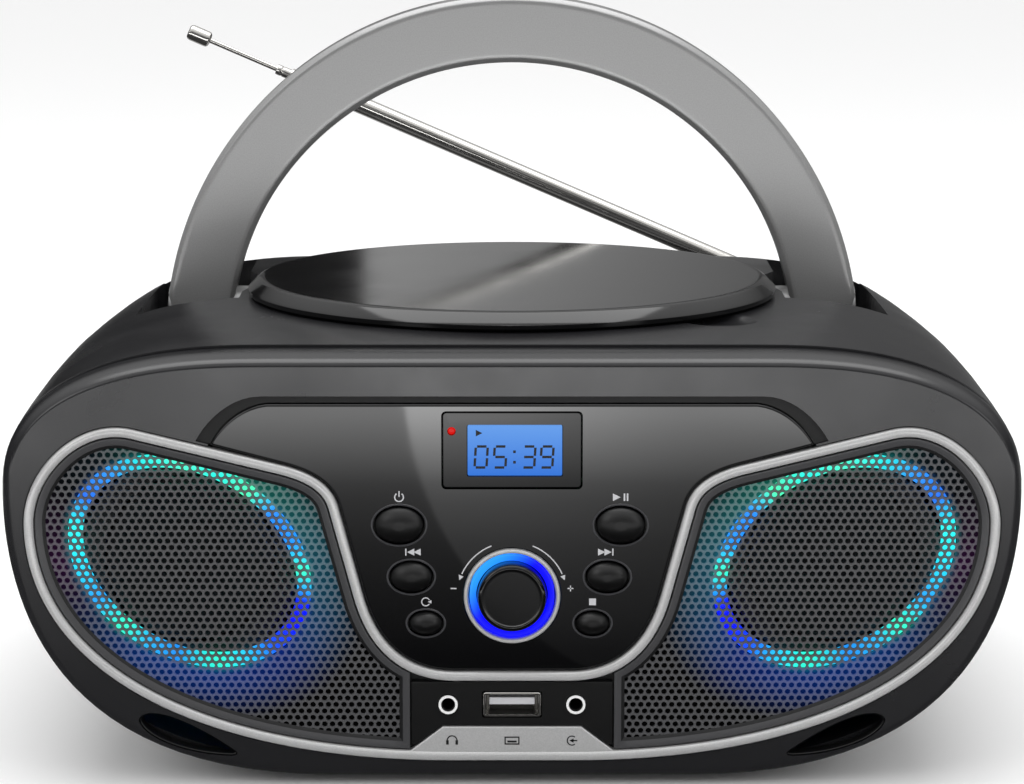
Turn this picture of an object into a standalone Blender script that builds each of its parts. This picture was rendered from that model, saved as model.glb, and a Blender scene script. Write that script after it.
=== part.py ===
"""A portable disc and radio boombox: two cabinet shells, lit speakers, controls, lid, handle and antenna.

Lengths below are millimetres in the cabinet's own terms: x to the right, d behind the front face and
z above the cabinet's underside. Each mesh is turned to metres as it is made, with the origin on the
surface that the feet stand on, below the middle of the whole depth from knob to antenna swivel.
"""

import math

import bmesh
import bpy
from mathutils import Matrix, Vector

# Driving sizes.
CABINET_WIDTH = 250.0
CABINET_HEIGHT = 106.3
CABINET_DEPTH = 205.0
WALL = 2.5
GAP = 0.3
FOOT_HEIGHT = 1.5
FOOT_RADIUS = 8.0
FOOT_SINK = 1.0
FOOT_PLACES = ((-38.0, 36.0), (38.0, 36.0), (-38.0, CABINET_DEPTH - 35.0), (38.0, CABINET_DEPTH - 35.0))

# The cabinet's outline and its joint.
BASE_HALF_WIDTH = 45.0
WIDEST_HEIGHT = 71.3
BOWL_PULL = 26.0
BOWL_REACH = 10.0
SHOULDER = 65.0
SHOULDER_POWER = 2.5
BOWL_STEPS = 9
SHOULDER_STEPS = 8
FRONT_DEPTH = 12.0
EDGE_ROUND = 3.0
EDGE_LENGTH = 8.0
DECK_RISE = 1.5
PLATE_FRONT = 2.5
TRIM_PROUD = 1.2

# The rear shell's stations: how much narrower on each side, how far its top rises, and its depth.
REAR_STATIONS = (
    (0.0, -0.8, FRONT_DEPTH + GAP),
    (0.0, 0.0, 30.0),
    (0.0, 0.0, 60.0),
    (1.0, 0.0, 100.0),
    (5.0, 0.0, 150.0),
    (7.0, 0.0, 166.0),
    (8.5, -1.1, CABINET_DEPTH - 28.0),
    (11.0, -3.3, CABINET_DEPTH - 15.0),
    (13.0, -5.8, CABINET_DEPTH - 3.0),
)

# The loop of trim round both speakers.
TRIM_BAND = 2.4
TRIM_BASE = 5.2
TRIM_SIDE = 5.9
TRIM_LOW = 27.7
BEVEL_BAND = 2.3
LABEL_TOP = 13.8
LABEL_HALF_WIDTH = 17.0
LABEL_FOOT = 27.0

# Speakers and the lit ovals round them.
SPEAKER_X = CABINET_WIDTH / 2 - 46.0
SPEAKER_Z = 54.7
OVAL_LONG = 31.7
OVAL_SHORT = 24.5
OVAL_BAND = 3.5
OVAL_TILT = math.radians(33)
BASKET_RADIUS = 26.5
CONE_RADIUS = 20.0
MAGNET_RADIUS = 18.0
MAGNET_BACK = 40.0
GRILLE_THICKNESS = 0.8
VENT_X = 0.4 * CABINET_WIDTH - 19.2
VENT_Z = 12.1
VENT_LONG = 10.5
VENT_SHORT = 4.0
VENT_TILT = math.radians(24.5)

# The control panel.
PANEL_TOP = 94.4
PANEL_HALF_WIDTH = 59.6
DISPLAY_HALF_WIDTH = 17.2
DISPLAY_LOW = 73.3
DISPLAY_HIGH = 92.6
LCD_HALF_WIDTH = 12.5
LCD_LOW = 75.6
LCD_HIGH = 90.0
INDICATOR = (-14.7, 87.6)
INDICATOR_RADIUS = 0.95
KNOB_Z = 46.8
KNOB_RADIUS = 8.5
KNOB_PROUD = 4.0
KNOB_STEM = 3.0
BEZEL_RADIUS = 11.9
BEZEL_BAND = 1.15
BUTTON_PROUD = 2.6
BUTTON_TRAVEL = 0.8
BOARD_FRONT = 6.6
BOARD_THICKNESS = 1.6
BOARD_MARGIN = 1.5
BOARD_HALF = [(0, 34), (19, 34), (26, 38.5), (34, 60), (36, 72), (36, 91), (0, 91)]
BUTTONS = {
    "power_button": (-27.5, 64.4, 12.2, 9.1),
    "previous_button": (-24.6, 51.5, 10.5, 7.6),
    "function_button": (-21.1, 39.9, 8.3, 5.9),
    "play_button": (26.5, 64.4, 12.2, 9.1),
    "next_button": (23.3, 51.5, 10.5, 7.6),
    "stop_button": (19.7, 39.9, 8.3, 5.9),
}

# Sockets.
PORT_Z = 19.3
PORT_HALF_WIDTH = 24.8
JACK_X = 15.7
JACK_BORE = 1.75
JACK_NOSE = 2.3
JACK_BODY = 3.6
JACK_BACK = 14.0
USB_WIDTH = 14.2
USB_HEIGHT = 6.1
USB_SHELL = 0.6

# The disc deck and its lid.
LID_D = 96.0
LID_RADIUS = 70.5
LID_TOP_RADIUS = LID_RADIUS - 2.8
LID_THICKNESS = 4.6
LID_SKIN = 1.8
WELL_RADIUS = LID_RADIUS - 8.0
WELL_WALL = 1.8
WELL_FLOOR = 90.0
WELL_FLANGE = 1.2
TURNTABLE_RADIUS = 12.0
TURNTABLE_LOW = 94.5
HUB_RADIUS = 7.4
MOTOR_RADIUS = 10.0
MOTOR_LOW = 74.0
SLED_TRAVEL = WELL_RADIUS - 40.5
HINGE_D = LID_D + LID_RADIUS + 2.0
HINGE_DROP = 1.3
HINGE_RADIUS = 1.5
HINGE_ARM_X = 17.0
HINGE_ARM_WIDTH = 10.0
HINGE_POCKET = 26.0
HINGE_POCKET_BACK = HINGE_D + 7.5
HINGE_POCKET_DEPTH = 9.0
WELL_RIM_LOW = 98.0
SENSE_DIMPLE = (53.0, 46.5, 9.0, 1.3)

# The carrying handle.
HANDLE_OUTER = 97.5
HANDLE_INNER = 79.0
HANDLE_CENTRE_Z = 86.3
HANDLE_D = 149.0
HANDLE_THICKNESS = 12.0
HANDLE_PIVOT_Z = 96.0
HANDLE_CHAMFER = 1.5
HANDLE_PIN_RADIUS = 3.0
POCKET_FLOOR = 88.5
POCKET_INNER = 73.0
POCKET_FRONT = 88.0
POCKET_BACK = 172.0
POCKET_SIDE_GAP = 2.5
POCKET_LID_GAP = 2.0
HANDLE_PIN_SEAT = 7.0

# The antenna, measured along itself from its swivel.
ANTENNA_X = CABINET_WIDTH / 2 - 39.0
ANTENNA_Z = 91.0
ANTENNA_D = CABINET_DEPTH + 5.0
ANTENNA_REST = math.radians(23.3)
ANTENNA_PIECES = {
    "antenna_tube": (2.6, 9.0, 156.0),
    "antenna_section_2": (2.05, 18.0, 165.0),
    "antenna_section_3": (1.55, 26.0, 169.5),
}
TUBE_WALL = 0.4
TIP_ROD = 0.75
TIP_START = 54.0
TIP_END = 191.0
TIP_CAP = 2.35
TIP_CAP_END = 198.0
SWIVEL_SHANK = 2.5
SWIVEL_FLANGE = 5.2
SWIVEL_BOSS = 7.0
SWIVEL_PIN = 0.9
SWIVEL_REACH = 3.0

# The back: batteries, mains inlet and screws.
BATTERY_HALF_WIDTH = 40.0
BATTERY_LOW = 12.0
BATTERY_HIGH = 52.0
BATTERY_FRONT = CABINET_DEPTH - 55.0
BOX_WALL = 1.6
INLET_X = -74.0
INLET_Z = 30.0
INLET_WIDTH = 16.0
INLET_HEIGHT = 11.0
INLET_DEPTH = 14.0
SCREW_PLACES = {"left_rear_screw": (-58.0, 74.0), "right_rear_screw": (58.0, 74.0)}
SCREW_HEAD = 3.0
SCREW_SHANK = 1.4
SCREW_SEAT = CABINET_DEPTH - 2.0
SCREW_BOSS = 4.5
SCREW_TIP = CABINET_DEPTH - 8.5

# Blocks inside the cabinet, as two opposite corners.
TRANSFORMER_CORE = ((-84, 116, 18), (-58, 146, 46))
TRANSFORMER_COIL = ((-87, 121, 23), (-55, 141, 41))
MAIN_BOARD = ((-52, 55, 9), (52, 140, 10.6))

DECK = CABINET_HEIGHT + DECK_RISE
MIDDLE_D = (ANTENNA_D + SWIVEL_REACH - KNOB_PROUD) / 2
HALF_WIDTH = CABINET_WIDTH / 2
MM = 0.001


def clear_scene():
    for obj in list(bpy.data.objects):
        bpy.data.objects.remove(obj)


def material(name, colour, roughness, metallic=0.0):
    made = bpy.data.materials.new(name)
    made.use_nodes = True
    shader = made.node_tree.nodes["Principled BSDF"]
    shader.inputs["Base Color"].default_value = (*colour, 1.0)
    shader.inputs["Roughness"].default_value = roughness
    shader.inputs["Metallic"].default_value = metallic
    return made


def place(point):
    """A point in cabinet millimetres, as scene metres."""
    x, d, z = point
    return Vector((x, d - MIDDLE_D, z + FOOT_HEIGHT)) * MM


# Outlines: lists of (x, z) or (x, d), anticlockwise.


def cubic(start, pull, reach, end, steps):
    """Points along a cubic curve, without its first one."""
    points = []
    for step in range(1, steps + 1):
        t = step / steps
        weights = ((1 - t) ** 3, 3 * (1 - t) ** 2 * t, 3 * (1 - t) * t * t, t ** 3)
        corners = (start, pull, reach, end)
        points.append(tuple(sum(w * c[i] for w, c in zip(weights, corners)) for i in (0, 1)))
    return points


def mirrored(right):
    """A closed outline from its right half, which runs from one point on the middle line to another."""
    return right + [(-x, z) for x, z in reversed(right) if x > 1e-6]


def inset(outline, distance):
    """The outline moved inwards by a distance."""
    moved = []
    for i, point in enumerate(outline):
        here = Vector(point)
        before = (here - Vector(outline[i - 1])).normalized()
        after = (Vector(outline[(i + 1) % len(outline)]) - here).normalized()
        side = Vector((-before.y, before.x))
        middle = (side + Vector((-after.y, after.x))).normalized()
        moved.append(tuple(here + middle * distance / middle.dot(side)))
    return moved


def oval(x, z, half_width, half_height, tilt=0.0, count=28):
    points = []
    for step in range(count):
        angle = 2 * math.pi * step / count
        across = half_width * math.cos(angle)
        up = half_height * math.sin(angle)
        points.append((
            x + across * math.cos(tilt) - up * math.sin(tilt),
            z + across * math.sin(tilt) + up * math.cos(tilt),
        ))
    return points


def rectangle(x0, z0, x1, z1, corner=0.0, steps=3):
    if corner <= 0:
        return [(x0, z0), (x1, z0), (x1, z1), (x0, z1)]
    points = []
    centres = ((x1 - corner, z0 + corner), (x1 - corner, z1 - corner))
    centres += ((x0 + corner, z1 - corner), (x0 + corner, z0 + corner))
    for quarter, (x, z) in enumerate(centres):
        for step in range(steps + 1):
            angle = math.radians(90 * (quarter - 1 + step / steps))
            points.append((x + corner * math.cos(angle), z + corner * math.sin(angle)))
    return points


def cabinet_outline(half_width, top):
    """Flat base, bowl, widest line, rounded shoulder and flat top."""
    right = [(0.0, 0.0), (BASE_HALF_WIDTH, 0.0)]
    right += cubic(
        (BASE_HALF_WIDTH, 0.0),
        (half_width - BOWL_REACH, 0.0),
        (half_width, WIDEST_HEIGHT - BOWL_PULL),
        (half_width, WIDEST_HEIGHT),
        BOWL_STEPS,
    )
    for step in range(1, SHOULDER_STEPS + 1):
        angle = math.radians(90 * step / SHOULDER_STEPS)
        power = 2 / SHOULDER_POWER
        across = max(math.cos(angle), 0.0) ** power
        right.append((half_width - SHOULDER + SHOULDER * across,
                      WIDEST_HEIGHT + (top - WIDEST_HEIGHT) * math.sin(angle) ** power))
    right.append((0.0, top))
    return mirrored(right)


def trim_half():
    """The trim's outer edge, right half: base, side, slope, corner, and the dip below the controls."""
    side = HALF_WIDTH - TRIM_SIDE
    low = TRIM_BASE
    right = [(0.0, low), (15.0, low)]
    right += cubic((15.0, low), (side - 39.1, low), (side, 29.5), (side, 64.5), 12)
    slope_top = (side - 27.1, 88.05)
    slope_low = (56.5, 79.4)
    right += cubic((side, 64.5), (side, 78.0), (side - 13.5, 91.4), slope_top, 8)
    right += [slope_low]
    right += cubic(slope_low, (49.0, 77.6), (43.9, 74.6), (42.4, 69.0), 5)
    right += [(36.4, 46.7)]
    right += cubic((36.4, 46.7), (33.2, 34.9), (26.0, TRIM_LOW), (14.0, TRIM_LOW), 6)
    right.append((0.0, TRIM_LOW))
    return right


def right_of(outline, edge):
    """The part of an outline to the right of an upright line."""
    kept = []
    for i, (x, z) in enumerate(outline):
        x0, z0 = outline[i - 1]
        if (x0 - edge) * (x - edge) < 0:
            kept.append((edge, z0 + (z - z0) * (edge - x0) / (x - x0)))
        if x > edge + 1:
            kept.append((x, z))
    return kept


def speaker_outline(distance):
    """One speaker's field inside the trim, right side, moved inwards by a distance."""
    field = right_of(inset(mirrored(trim_half()), TRIM_BAND + GAP), PORT_HALF_WIDTH + GAP)
    return inset(field, distance) if distance else field


def panel_outline():
    """The control panel: its underside follows the trim, and its top corners are cut off."""
    half = trim_half()
    trim = inset(mirrored(half), -GAP)[:len(half)]
    dip = [p for p in reversed(trim) if p[0] < 57.0 and p[1] > TRIM_LOW - 1]
    top = PANEL_TOP
    slope_end = (73.6, 84.2)
    right = dip + [slope_end, (70.8, 88.4), (66.0, 91.9), (PANEL_HALF_WIDTH, top), (0.0, top)]
    return mirrored(right)


def flipped(outline):
    """The outline's mirror image, still anticlockwise."""
    return [(-x, z) for x, z in reversed(outline)]


# Solids.


def at_depth(outline, d):
    return [(x, d, z) for x, z in outline]


def at_height(outline, z):
    return [(x, d, z) for x, d in outline]


def skin(loops, ring=False):
    """A closed solid through loops with as many points each, with flat ends or joined into a ring."""
    bm = bmesh.new()
    rows = [[bm.verts.new(point) for point in loop] for loop in loops]
    pairs = list(zip(rows, rows[1:]))
    if ring:
        pairs.append((rows[-1], rows[0]))
    else:
        bm.faces.new(rows[0])
        bm.faces.new(rows[-1][::-1])
    for low, high in pairs:
        for i in range(len(low)):
            j = (i + 1) % len(low)
            bm.faces.new((low[i], high[i], high[j], low[j]))
    return bm


def prism(outline, d0, d1):
    return skin([at_depth(outline, d0), at_depth(outline, d1)])


def slab(outline, z0, z1):
    return skin([at_height(outline, z0), at_height(outline, z1)])


def hoop(outer, inner, d0, d1):
    """A flat ring between two outlines with as many points each."""
    return skin([at_depth(outer, d0), at_depth(outer, d1), at_depth(inner, d1), at_depth(inner, d0)], True)


def block(low, high):
    return prism(rectangle(low[0], low[2], high[0], high[2]), low[1], high[1])


def turned(profile, centre, axis, count=24):
    """A profile of (radius, distance along the axis) turned round it; radius 0 closes an end."""
    along = Vector(axis).normalized()
    across = along.orthogonal().normalized()
    over = along.cross(across)
    bm = bmesh.new()
    rows = []
    for radius, distance in profile:
        middle = Vector(centre) + along * distance
        if radius == 0:
            rows.append([bm.verts.new(middle)] * count)
            continue
        row = []
        for step in range(count):
            angle = 2 * math.pi * step / count
            row.append(bm.verts.new(
                middle + (across * math.cos(angle) + over * math.sin(angle)) * radius))
        rows.append(row)
    pairs = list(zip(rows, rows[1:]))
    if profile[0][0] > 0:
        pairs.append((rows[-1], rows[0]))
    for low, high in pairs:
        for i in range(count):
            j = (i + 1) % count
            corners = []
            for vert in (low[i], low[j], high[j], high[i]):
                if vert not in corners:
                    corners.append(vert)
            if len(corners) > 2:
                bm.faces.new(corners)
    return bm


def rod(radius, centre, axis, length, count=24):
    return turned([(0, 0), (radius, 0), (radius, length), (0, length)], centre, axis, count)


def make(name, bm, finish, pivot=(0.0, MIDDLE_D, -FOOT_HEIGHT)):
    """An object from a solid in cabinet millimetres, with its origin at the pivot."""
    origin = place(pivot)
    bmesh.ops.recalc_face_normals(bm, faces=bm.faces)
    for vert in bm.verts:
        vert.co = place(vert.co) - origin
    mesh = bpy.data.meshes.new(name)
    bm.to_mesh(mesh)
    bm.free()
    mesh.shade_smooth()
    mesh.set_sharp_from_angle(angle=math.radians(35))
    obj = bpy.data.objects.new(name, mesh)
    obj.location = origin
    bpy.context.scene.collection.objects.link(obj)
    if finish:
        mesh.materials.append(finish)
    return obj


def tool(name, bm):
    obj = make(name, bm, None)
    obj.hide_render = True
    obj.display_type = "WIRE"
    return obj


def change(obj, operation, *solids):
    """Cuts solids out of an object, or adds them to it."""
    for solid in solids:
        count = len(obj.modifiers)
        other = solid
        if not isinstance(solid, bpy.types.Object):
            other = tool(f"{obj.name}_{operation.lower()}_{count}", solid)
        modifier = obj.modifiers.new(f"{operation.title()} {count}", "BOOLEAN")
        modifier.operation = operation
        modifier.solver = "EXACT"
        modifier.object = other
    return obj


def cut(obj, *solids):
    return change(obj, "DIFFERENCE", *solids)


def add(obj, *solids):
    return change(obj, "UNION", *solids)


# Cabinet.


def front_cabinet(finish):
    full = cabinet_outline(HALF_WIDTH, CABINET_HEIGHT)
    loops = []
    for step in range(4):
        angle = math.radians(30 * step)
        d = EDGE_LENGTH * (1 - math.cos(angle))
        loops.append(at_depth(inset(full, EDGE_ROUND * (1 - math.sin(angle))), d))
    loops.append(at_depth(full, FRONT_DEPTH))
    shell = make("front_cabinet", skin(loops), finish)
    plate_back = 2 * PLATE_FRONT
    cut(shell, prism(inset(full, WALL + 1.2), plate_back, FRONT_DEPTH + 1))
    cut(shell, prism(inset(mirrored(trim_half()), -GAP), -1, PLATE_FRONT))
    cut(shell, prism(inset(panel_outline(), -GAP), -1, PLATE_FRONT))
    cut(shell, prism(inset(mirrored(BOARD_HALF), -BOARD_MARGIN), 0, plate_back + 1))
    port = rectangle(-PORT_HALF_WIDTH + 2, PORT_Z - 4.5, PORT_HALF_WIDTH - 2, PORT_Z + 4.5)
    cut(shell, prism(port, 0, plate_back + 1))
    for side in (-1, 1):
        opening = oval(side * SPEAKER_X, SPEAKER_Z, OVAL_LONG + GAP, OVAL_SHORT + GAP, side * OVAL_TILT)
        cut(shell, prism(opening, 0, plate_back + 1))
        vent = oval(side * VENT_X, VENT_Z, VENT_LONG, VENT_SHORT, side * VENT_TILT, 20)
        cut(shell, prism(vent, -1, plate_back + 1))
    return shell


def rear_sections(distance):
    """The rear shell's sections, moved inwards by a distance: (half width, top, d)."""
    sections = []
    for narrower, rise, d in REAR_STATIONS:
        outline = cabinet_outline(HALF_WIDTH - narrower, DECK + rise)
        sections.append([inset(outline, distance) if distance else outline, d])
    return sections


def pocket_outline(side, margin):
    """A handle pocket in plan, which keeps clear of the lid and of the handle as it folds."""
    m = margin
    clear = LID_RADIUS + POCKET_LID_GAP
    outer = HANDLE_OUTER + POCKET_SIDE_GAP
    outline = [
        (POCKET_INNER - m, POCKET_BACK + m), (POCKET_INNER - m, HANDLE_D - 9), (clear - 4.7 - m, 126.0),
        (clear - 4.7 - m, 121.0), (clear - m, 100.0), (clear - m, POCKET_FRONT - m),
        (outer + m, POCKET_FRONT - m), (outer + m, POCKET_BACK + m),
    ]
    return outline if side > 0 else flipped(outline)


def rear_cabinet(finish):
    outer = rear_sections(0.0)
    loops = [at_depth(outline, d) for outline, d in outer]
    loops.append(at_depth(inset(outer[-1][0], EDGE_ROUND), CABINET_DEPTH))
    shell = make("rear_cabinet", skin(loops), finish)

    inner = rear_sections(WALL)
    inner[0][1] -= 2
    inner[-1][1] = CABINET_DEPTH - WALL
    cavity = tool("rear_cavity", skin([at_depth(outline, d) for outline, d in inner]))
    hinge_floor = DECK - HINGE_POCKET_DEPTH
    for side in (-1, 1):
        cut(cavity, slab(pocket_outline(side, WALL), POCKET_FLOOR - WALL, DECK + 5))
    hinge_front = LID_D + WELL_RADIUS + WELL_WALL + WELL_FLANGE + 0.7
    casing_back = HINGE_POCKET_BACK + WALL
    casing = HINGE_POCKET + 4
    cut(cavity, block((-casing, hinge_front, hinge_floor), (casing, casing_back, DECK + 5)))
    swivel_boss = (ANTENNA_X, CABINET_DEPTH - 19, ANTENNA_Z)
    cut(cavity, rod(SWIVEL_BOSS, swivel_boss, (0, 1, 0), 30.0, 16))
    for x, z in SCREW_PLACES.values():
        cut(cavity, rod(SCREW_BOSS, (x, CABINET_DEPTH - 11, z), (0, 1, 0), 20.0, 12))
    cut(shell, cavity)

    for side in (-1, 1):
        cut(shell, slab(pocket_outline(side, 0.0), POCKET_FLOOR, DECK + 5))
        pin_start = (side * 60.0, HANDLE_D, HANDLE_PIVOT_Z)
        cut(shell, rod(HANDLE_PIN_RADIUS + GAP, pin_start, (side, 0, 0), 20.0, 16))
    pocket_low = (-HINGE_POCKET, hinge_front + WALL - 0.8, hinge_floor + WALL)
    cut(shell, block(pocket_low, (HINGE_POCKET, HINGE_POCKET_BACK, DECK + 5)))
    bore = HINGE_POCKET + 2.5
    cut(shell, rod(HINGE_RADIUS + GAP, (-bore, HINGE_D, DECK - HINGE_DROP), (1, 0, 0), 2 * bore, 12))
    cut(shell, rod(WELL_RADIUS + GAP, (0, LID_D, WELL_RIM_LOW), (0, 0, 1), 20.0, 40))
    x, d, radius, deep = SENSE_DIMPLE
    cut(shell, rod(radius, (x, d, DECK - deep), (0, 0, 1), 10.0, 24))
    cut(shell, rod(SWIVEL_SHANK + GAP, (ANTENNA_X, CABINET_DEPTH - 8, ANTENNA_Z), (0, 1, 0), 20.0, 12))
    for x, z in SCREW_PLACES.values():
        cut(shell, rod(SCREW_SHANK + GAP, (x, CABINET_DEPTH - 9, z), (0, 1, 0), 20.0, 12))
        cut(shell, rod(SCREW_HEAD + 0.5, (x, SCREW_SEAT, z), (0, 1, 0), 20.0, 16))
    battery = rectangle(-BATTERY_HALF_WIDTH, BATTERY_LOW, BATTERY_HALF_WIDTH, BATTERY_HIGH)
    wall_front = CABINET_DEPTH - 10
    wall_back = CABINET_DEPTH + 5
    cut(shell, prism(battery, wall_front, wall_back))
    inlet = rectangle(INLET_X - INLET_WIDTH / 2, INLET_Z - INLET_HEIGHT / 2,
                      INLET_X + INLET_WIDTH / 2, INLET_Z + INLET_HEIGHT / 2, 2.0)
    cut(shell, prism(inset(inlet, -GAP), wall_front, wall_back))
    for x, d in FOOT_PLACES:
        cut(shell, rod(FOOT_RADIUS + GAP, (x, d, -5.0), (0, 0, 1), 5.0 + FOOT_SINK, 24))
    return shell


def feet(finish):
    names = ("left_front_foot", "right_front_foot", "left_rear_foot", "right_rear_foot")
    for name, (x, d) in zip(names, FOOT_PLACES):
        height = FOOT_HEIGHT + FOOT_SINK - GAP
        profile = [(0, 0), (FOOT_RADIUS - 0.5, 0), (FOOT_RADIUS, 0.5), (FOOT_RADIUS, height), (0, height)]
        make(name, turned(profile, (x, d, -FOOT_HEIGHT), (0, 0, 1), 20), finish)


# Front.


def label_outline():
    """The plate below the sockets, which is one piece with the trim."""
    low = TRIM_BASE + 1.0
    head = LABEL_HALF_WIDTH
    return [(-LABEL_FOOT, low), (LABEL_FOOT, low), (head, LABEL_TOP), (-head, LABEL_TOP)]


def label_clearance():
    return prism(inset(label_outline(), -GAP), -5, 5)


def trim_frame(finish):
    outer = mirrored(trim_half())
    inner = inset(outer, TRIM_BAND)
    back = PLATE_FRONT - GAP
    crest = [at_depth(inset(outer, 0.7), -TRIM_PROUD), at_depth(outer, -TRIM_PROUD / 2)]
    crest += [at_depth(outer, back), at_depth(inner, back), at_depth(inner, 0.0)]
    crest += [at_depth(inset(outer, 1.7), -TRIM_PROUD)]
    frame = make("trim_frame", skin(crest, True), finish)
    return add(frame, prism(label_outline(), -0.6, back - 0.1))


def speaker_fronts(frame_finish, grille_finish, light_finish):
    for side, word in ((-1, "left"), (1, "right")):
        turn = flipped if side < 0 else list
        outer = speaker_outline(0.0)
        inner = speaker_outline(BEVEL_BAND)
        bevel = hoop(turn(outer), turn(inner), 0.2, PLATE_FRONT - GAP)
        cut(make(f"{word}_grille_frame", bevel, frame_finish), label_clearance())
        mesh = turn(speaker_outline(BEVEL_BAND + 2 * GAP))
        make(f"{word}_grille", prism(mesh, 0.6, 0.6 + GRILLE_THICKNESS), grille_finish)
        where = (side * SPEAKER_X, SPEAKER_Z)
        tilt = side * OVAL_TILT
        outside = oval(*where, OVAL_LONG, OVAL_SHORT, tilt)
        inside = oval(*where, OVAL_LONG - OVAL_BAND, OVAL_SHORT - OVAL_BAND, tilt)
        make(f"{word}_light_ring", hoop(outside, inside, PLATE_FRONT, 2 * PLATE_FRONT), light_finish)


def speakers(basket_finish, cone_finish):
    front = 2 * PLATE_FRONT + GAP
    rim = CONE_RADIUS + 1.0
    for side, word in ((-1, "left"), (1, "right")):
        centre = (side * SPEAKER_X, 0.0, SPEAKER_Z)
        basket = [
            (0, front + 20), (10.5, front + 18.5), (rim, front + 2), (rim, front), (BASKET_RADIUS, front),
            (BASKET_RADIUS, front + 1.8), (rim + 1.8, front + 2.2), (12.5, front + 19),
            (MAGNET_RADIUS, front + 20), (MAGNET_RADIUS, MAGNET_BACK), (0, MAGNET_BACK),
        ]
        make(f"{word}_speaker_basket", turned(basket, centre, (0, 1, 0), 20), basket_finish)
        edge = CONE_RADIUS + 0.6
        cone = [
            (0, front + 7.5), (3.5, front + 8.3), (6.5, front + 10.5), (CONE_RADIUS - 2, front + 1.2),
            (edge, front + 0.8), (edge, front + 1.6), (8.0, front + 16), (0, front + 17.5),
        ]
        make(f"{word}_speaker_cone", turned(cone, centre, (0, 1, 0), 20), cone_finish)


def vents(finish):
    for side, word in ((-1, "left"), (1, "right")):
        sizes = []
        for less in (GAP, GAP + 1.0):
            halves = (VENT_LONG - less, VENT_SHORT - less)
            sizes.append(oval(side * VENT_X, VENT_Z, *halves, side * VENT_TILT, 20))
        make(f"{word}_vent", hoop(sizes[0], sizes[1], 1.0, 2 * PLATE_FRONT - 0.2), finish)


def control_panel(finish):
    panel = make("control_panel", prism(panel_outline(), -GAP, PLATE_FRONT - GAP), finish)
    window = rectangle(-DISPLAY_HALF_WIDTH, DISPLAY_LOW, DISPLAY_HALF_WIDTH, DISPLAY_HIGH, 1.0)
    cut(panel, prism(window, -5, 5))
    for x, z, width, height in BUTTONS.values():
        cut(panel, prism(oval(x, z, width / 2 + GAP, height / 2 + GAP, count=16), -5, 5))
    return cut(panel, rod(BEZEL_RADIUS + GAP, (0, -5, KNOB_Z), (0, 1, 0), 10, 32))


def display(window_finish, lcd_finish, indicator_finish):
    corners = rectangle(-DISPLAY_HALF_WIDTH, DISPLAY_LOW, DISPLAY_HALF_WIDTH, DISPLAY_HIGH, 1.0)
    make("display_window", prism(inset(corners, GAP), 0.0, 1.2), window_finish)
    lcd = rectangle(-LCD_HALF_WIDTH, LCD_LOW, LCD_HALF_WIDTH + 1, LCD_HIGH)
    make("lcd_module", prism(lcd, 1.5, 5.5), lcd_finish)
    x, z = INDICATOR
    make("power_indicator", rod(INDICATOR_RADIUS, (x, 1.5, z), (0, 1, 0), 4.8, 12), indicator_finish)


def buttons(finish):
    """Oval keys: a domed cap, a flange behind the panel and a stem that reaches the board."""
    for name, (x, z, width, height) in BUTTONS.items():
        half = (width / 2, height / 2)

        def level(change_in_size, d):
            return at_depth(oval(x, z, half[0] + change_in_size, half[1] + change_in_size, count=16), d)

        flange = PLATE_FRONT
        loops = [level(-half[1] * 0.7, -BUTTON_PROUD), level(-half[1] * 0.35, -BUTTON_PROUD * 0.85)]
        loops += [level(-0.5, -BUTTON_PROUD * 0.4), level(0.0, 0.2), level(0.0, flange), level(0.9, flange)]
        loops += [level(0.9, flange + 0.8), level(-1.2, flange + 0.8)]
        loops.append(level(-1.2, BOARD_FRONT - BUTTON_TRAVEL - GAP))
        make(name, skin(loops), finish, (x, 0.0, z))


def volume_control(knob_finish, bezel_finish, light_finish):
    back = PLATE_FRONT - GAP
    centre = (0.0, 0.0, KNOB_Z)
    inner = BEZEL_RADIUS - BEZEL_BAND
    bezel = [(inner, back), (inner, -0.9), (inner + 0.4, -1.5), (BEZEL_RADIUS - 0.4, -1.3)]
    bezel += [(BEZEL_RADIUS, -0.6), (BEZEL_RADIUS, back)]
    make("volume_bezel", turned(bezel[::-1], centre, (0, 1, 0), 28), bezel_finish)
    light = [(KNOB_RADIUS + GAP, back), (KNOB_RADIUS + GAP, -0.6), (inner - GAP, -0.9), (inner - GAP, back)]
    make("volume_light_ring", turned(light[::-1], centre, (0, 1, 0), 28), light_finish)
    tip = -KNOB_PROUD
    knob = [
        (0, tip + 0.3), (KNOB_RADIUS - 1.6, tip), (KNOB_RADIUS - 0.5, tip + 0.4),
        (KNOB_RADIUS - 0.2, tip + 1.4), (KNOB_RADIUS, 1.0), (KNOB_STEM, 1.0), (KNOB_STEM, 10.0), (0, 10.0),
    ]
    make("volume_knob", turned(knob, centre, (0, 1, 0), 24), knob_finish, (0.0, 0.0, KNOB_Z))


def control_board(finish):
    plate = prism(mirrored(BOARD_HALF), BOARD_FRONT, BOARD_FRONT + BOARD_THICKNESS)
    board = make("control_board", plate, finish)
    return cut(board, rod(KNOB_STEM + GAP, (0, 0, KNOB_Z), (0, 1, 0), 20, 16))


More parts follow.
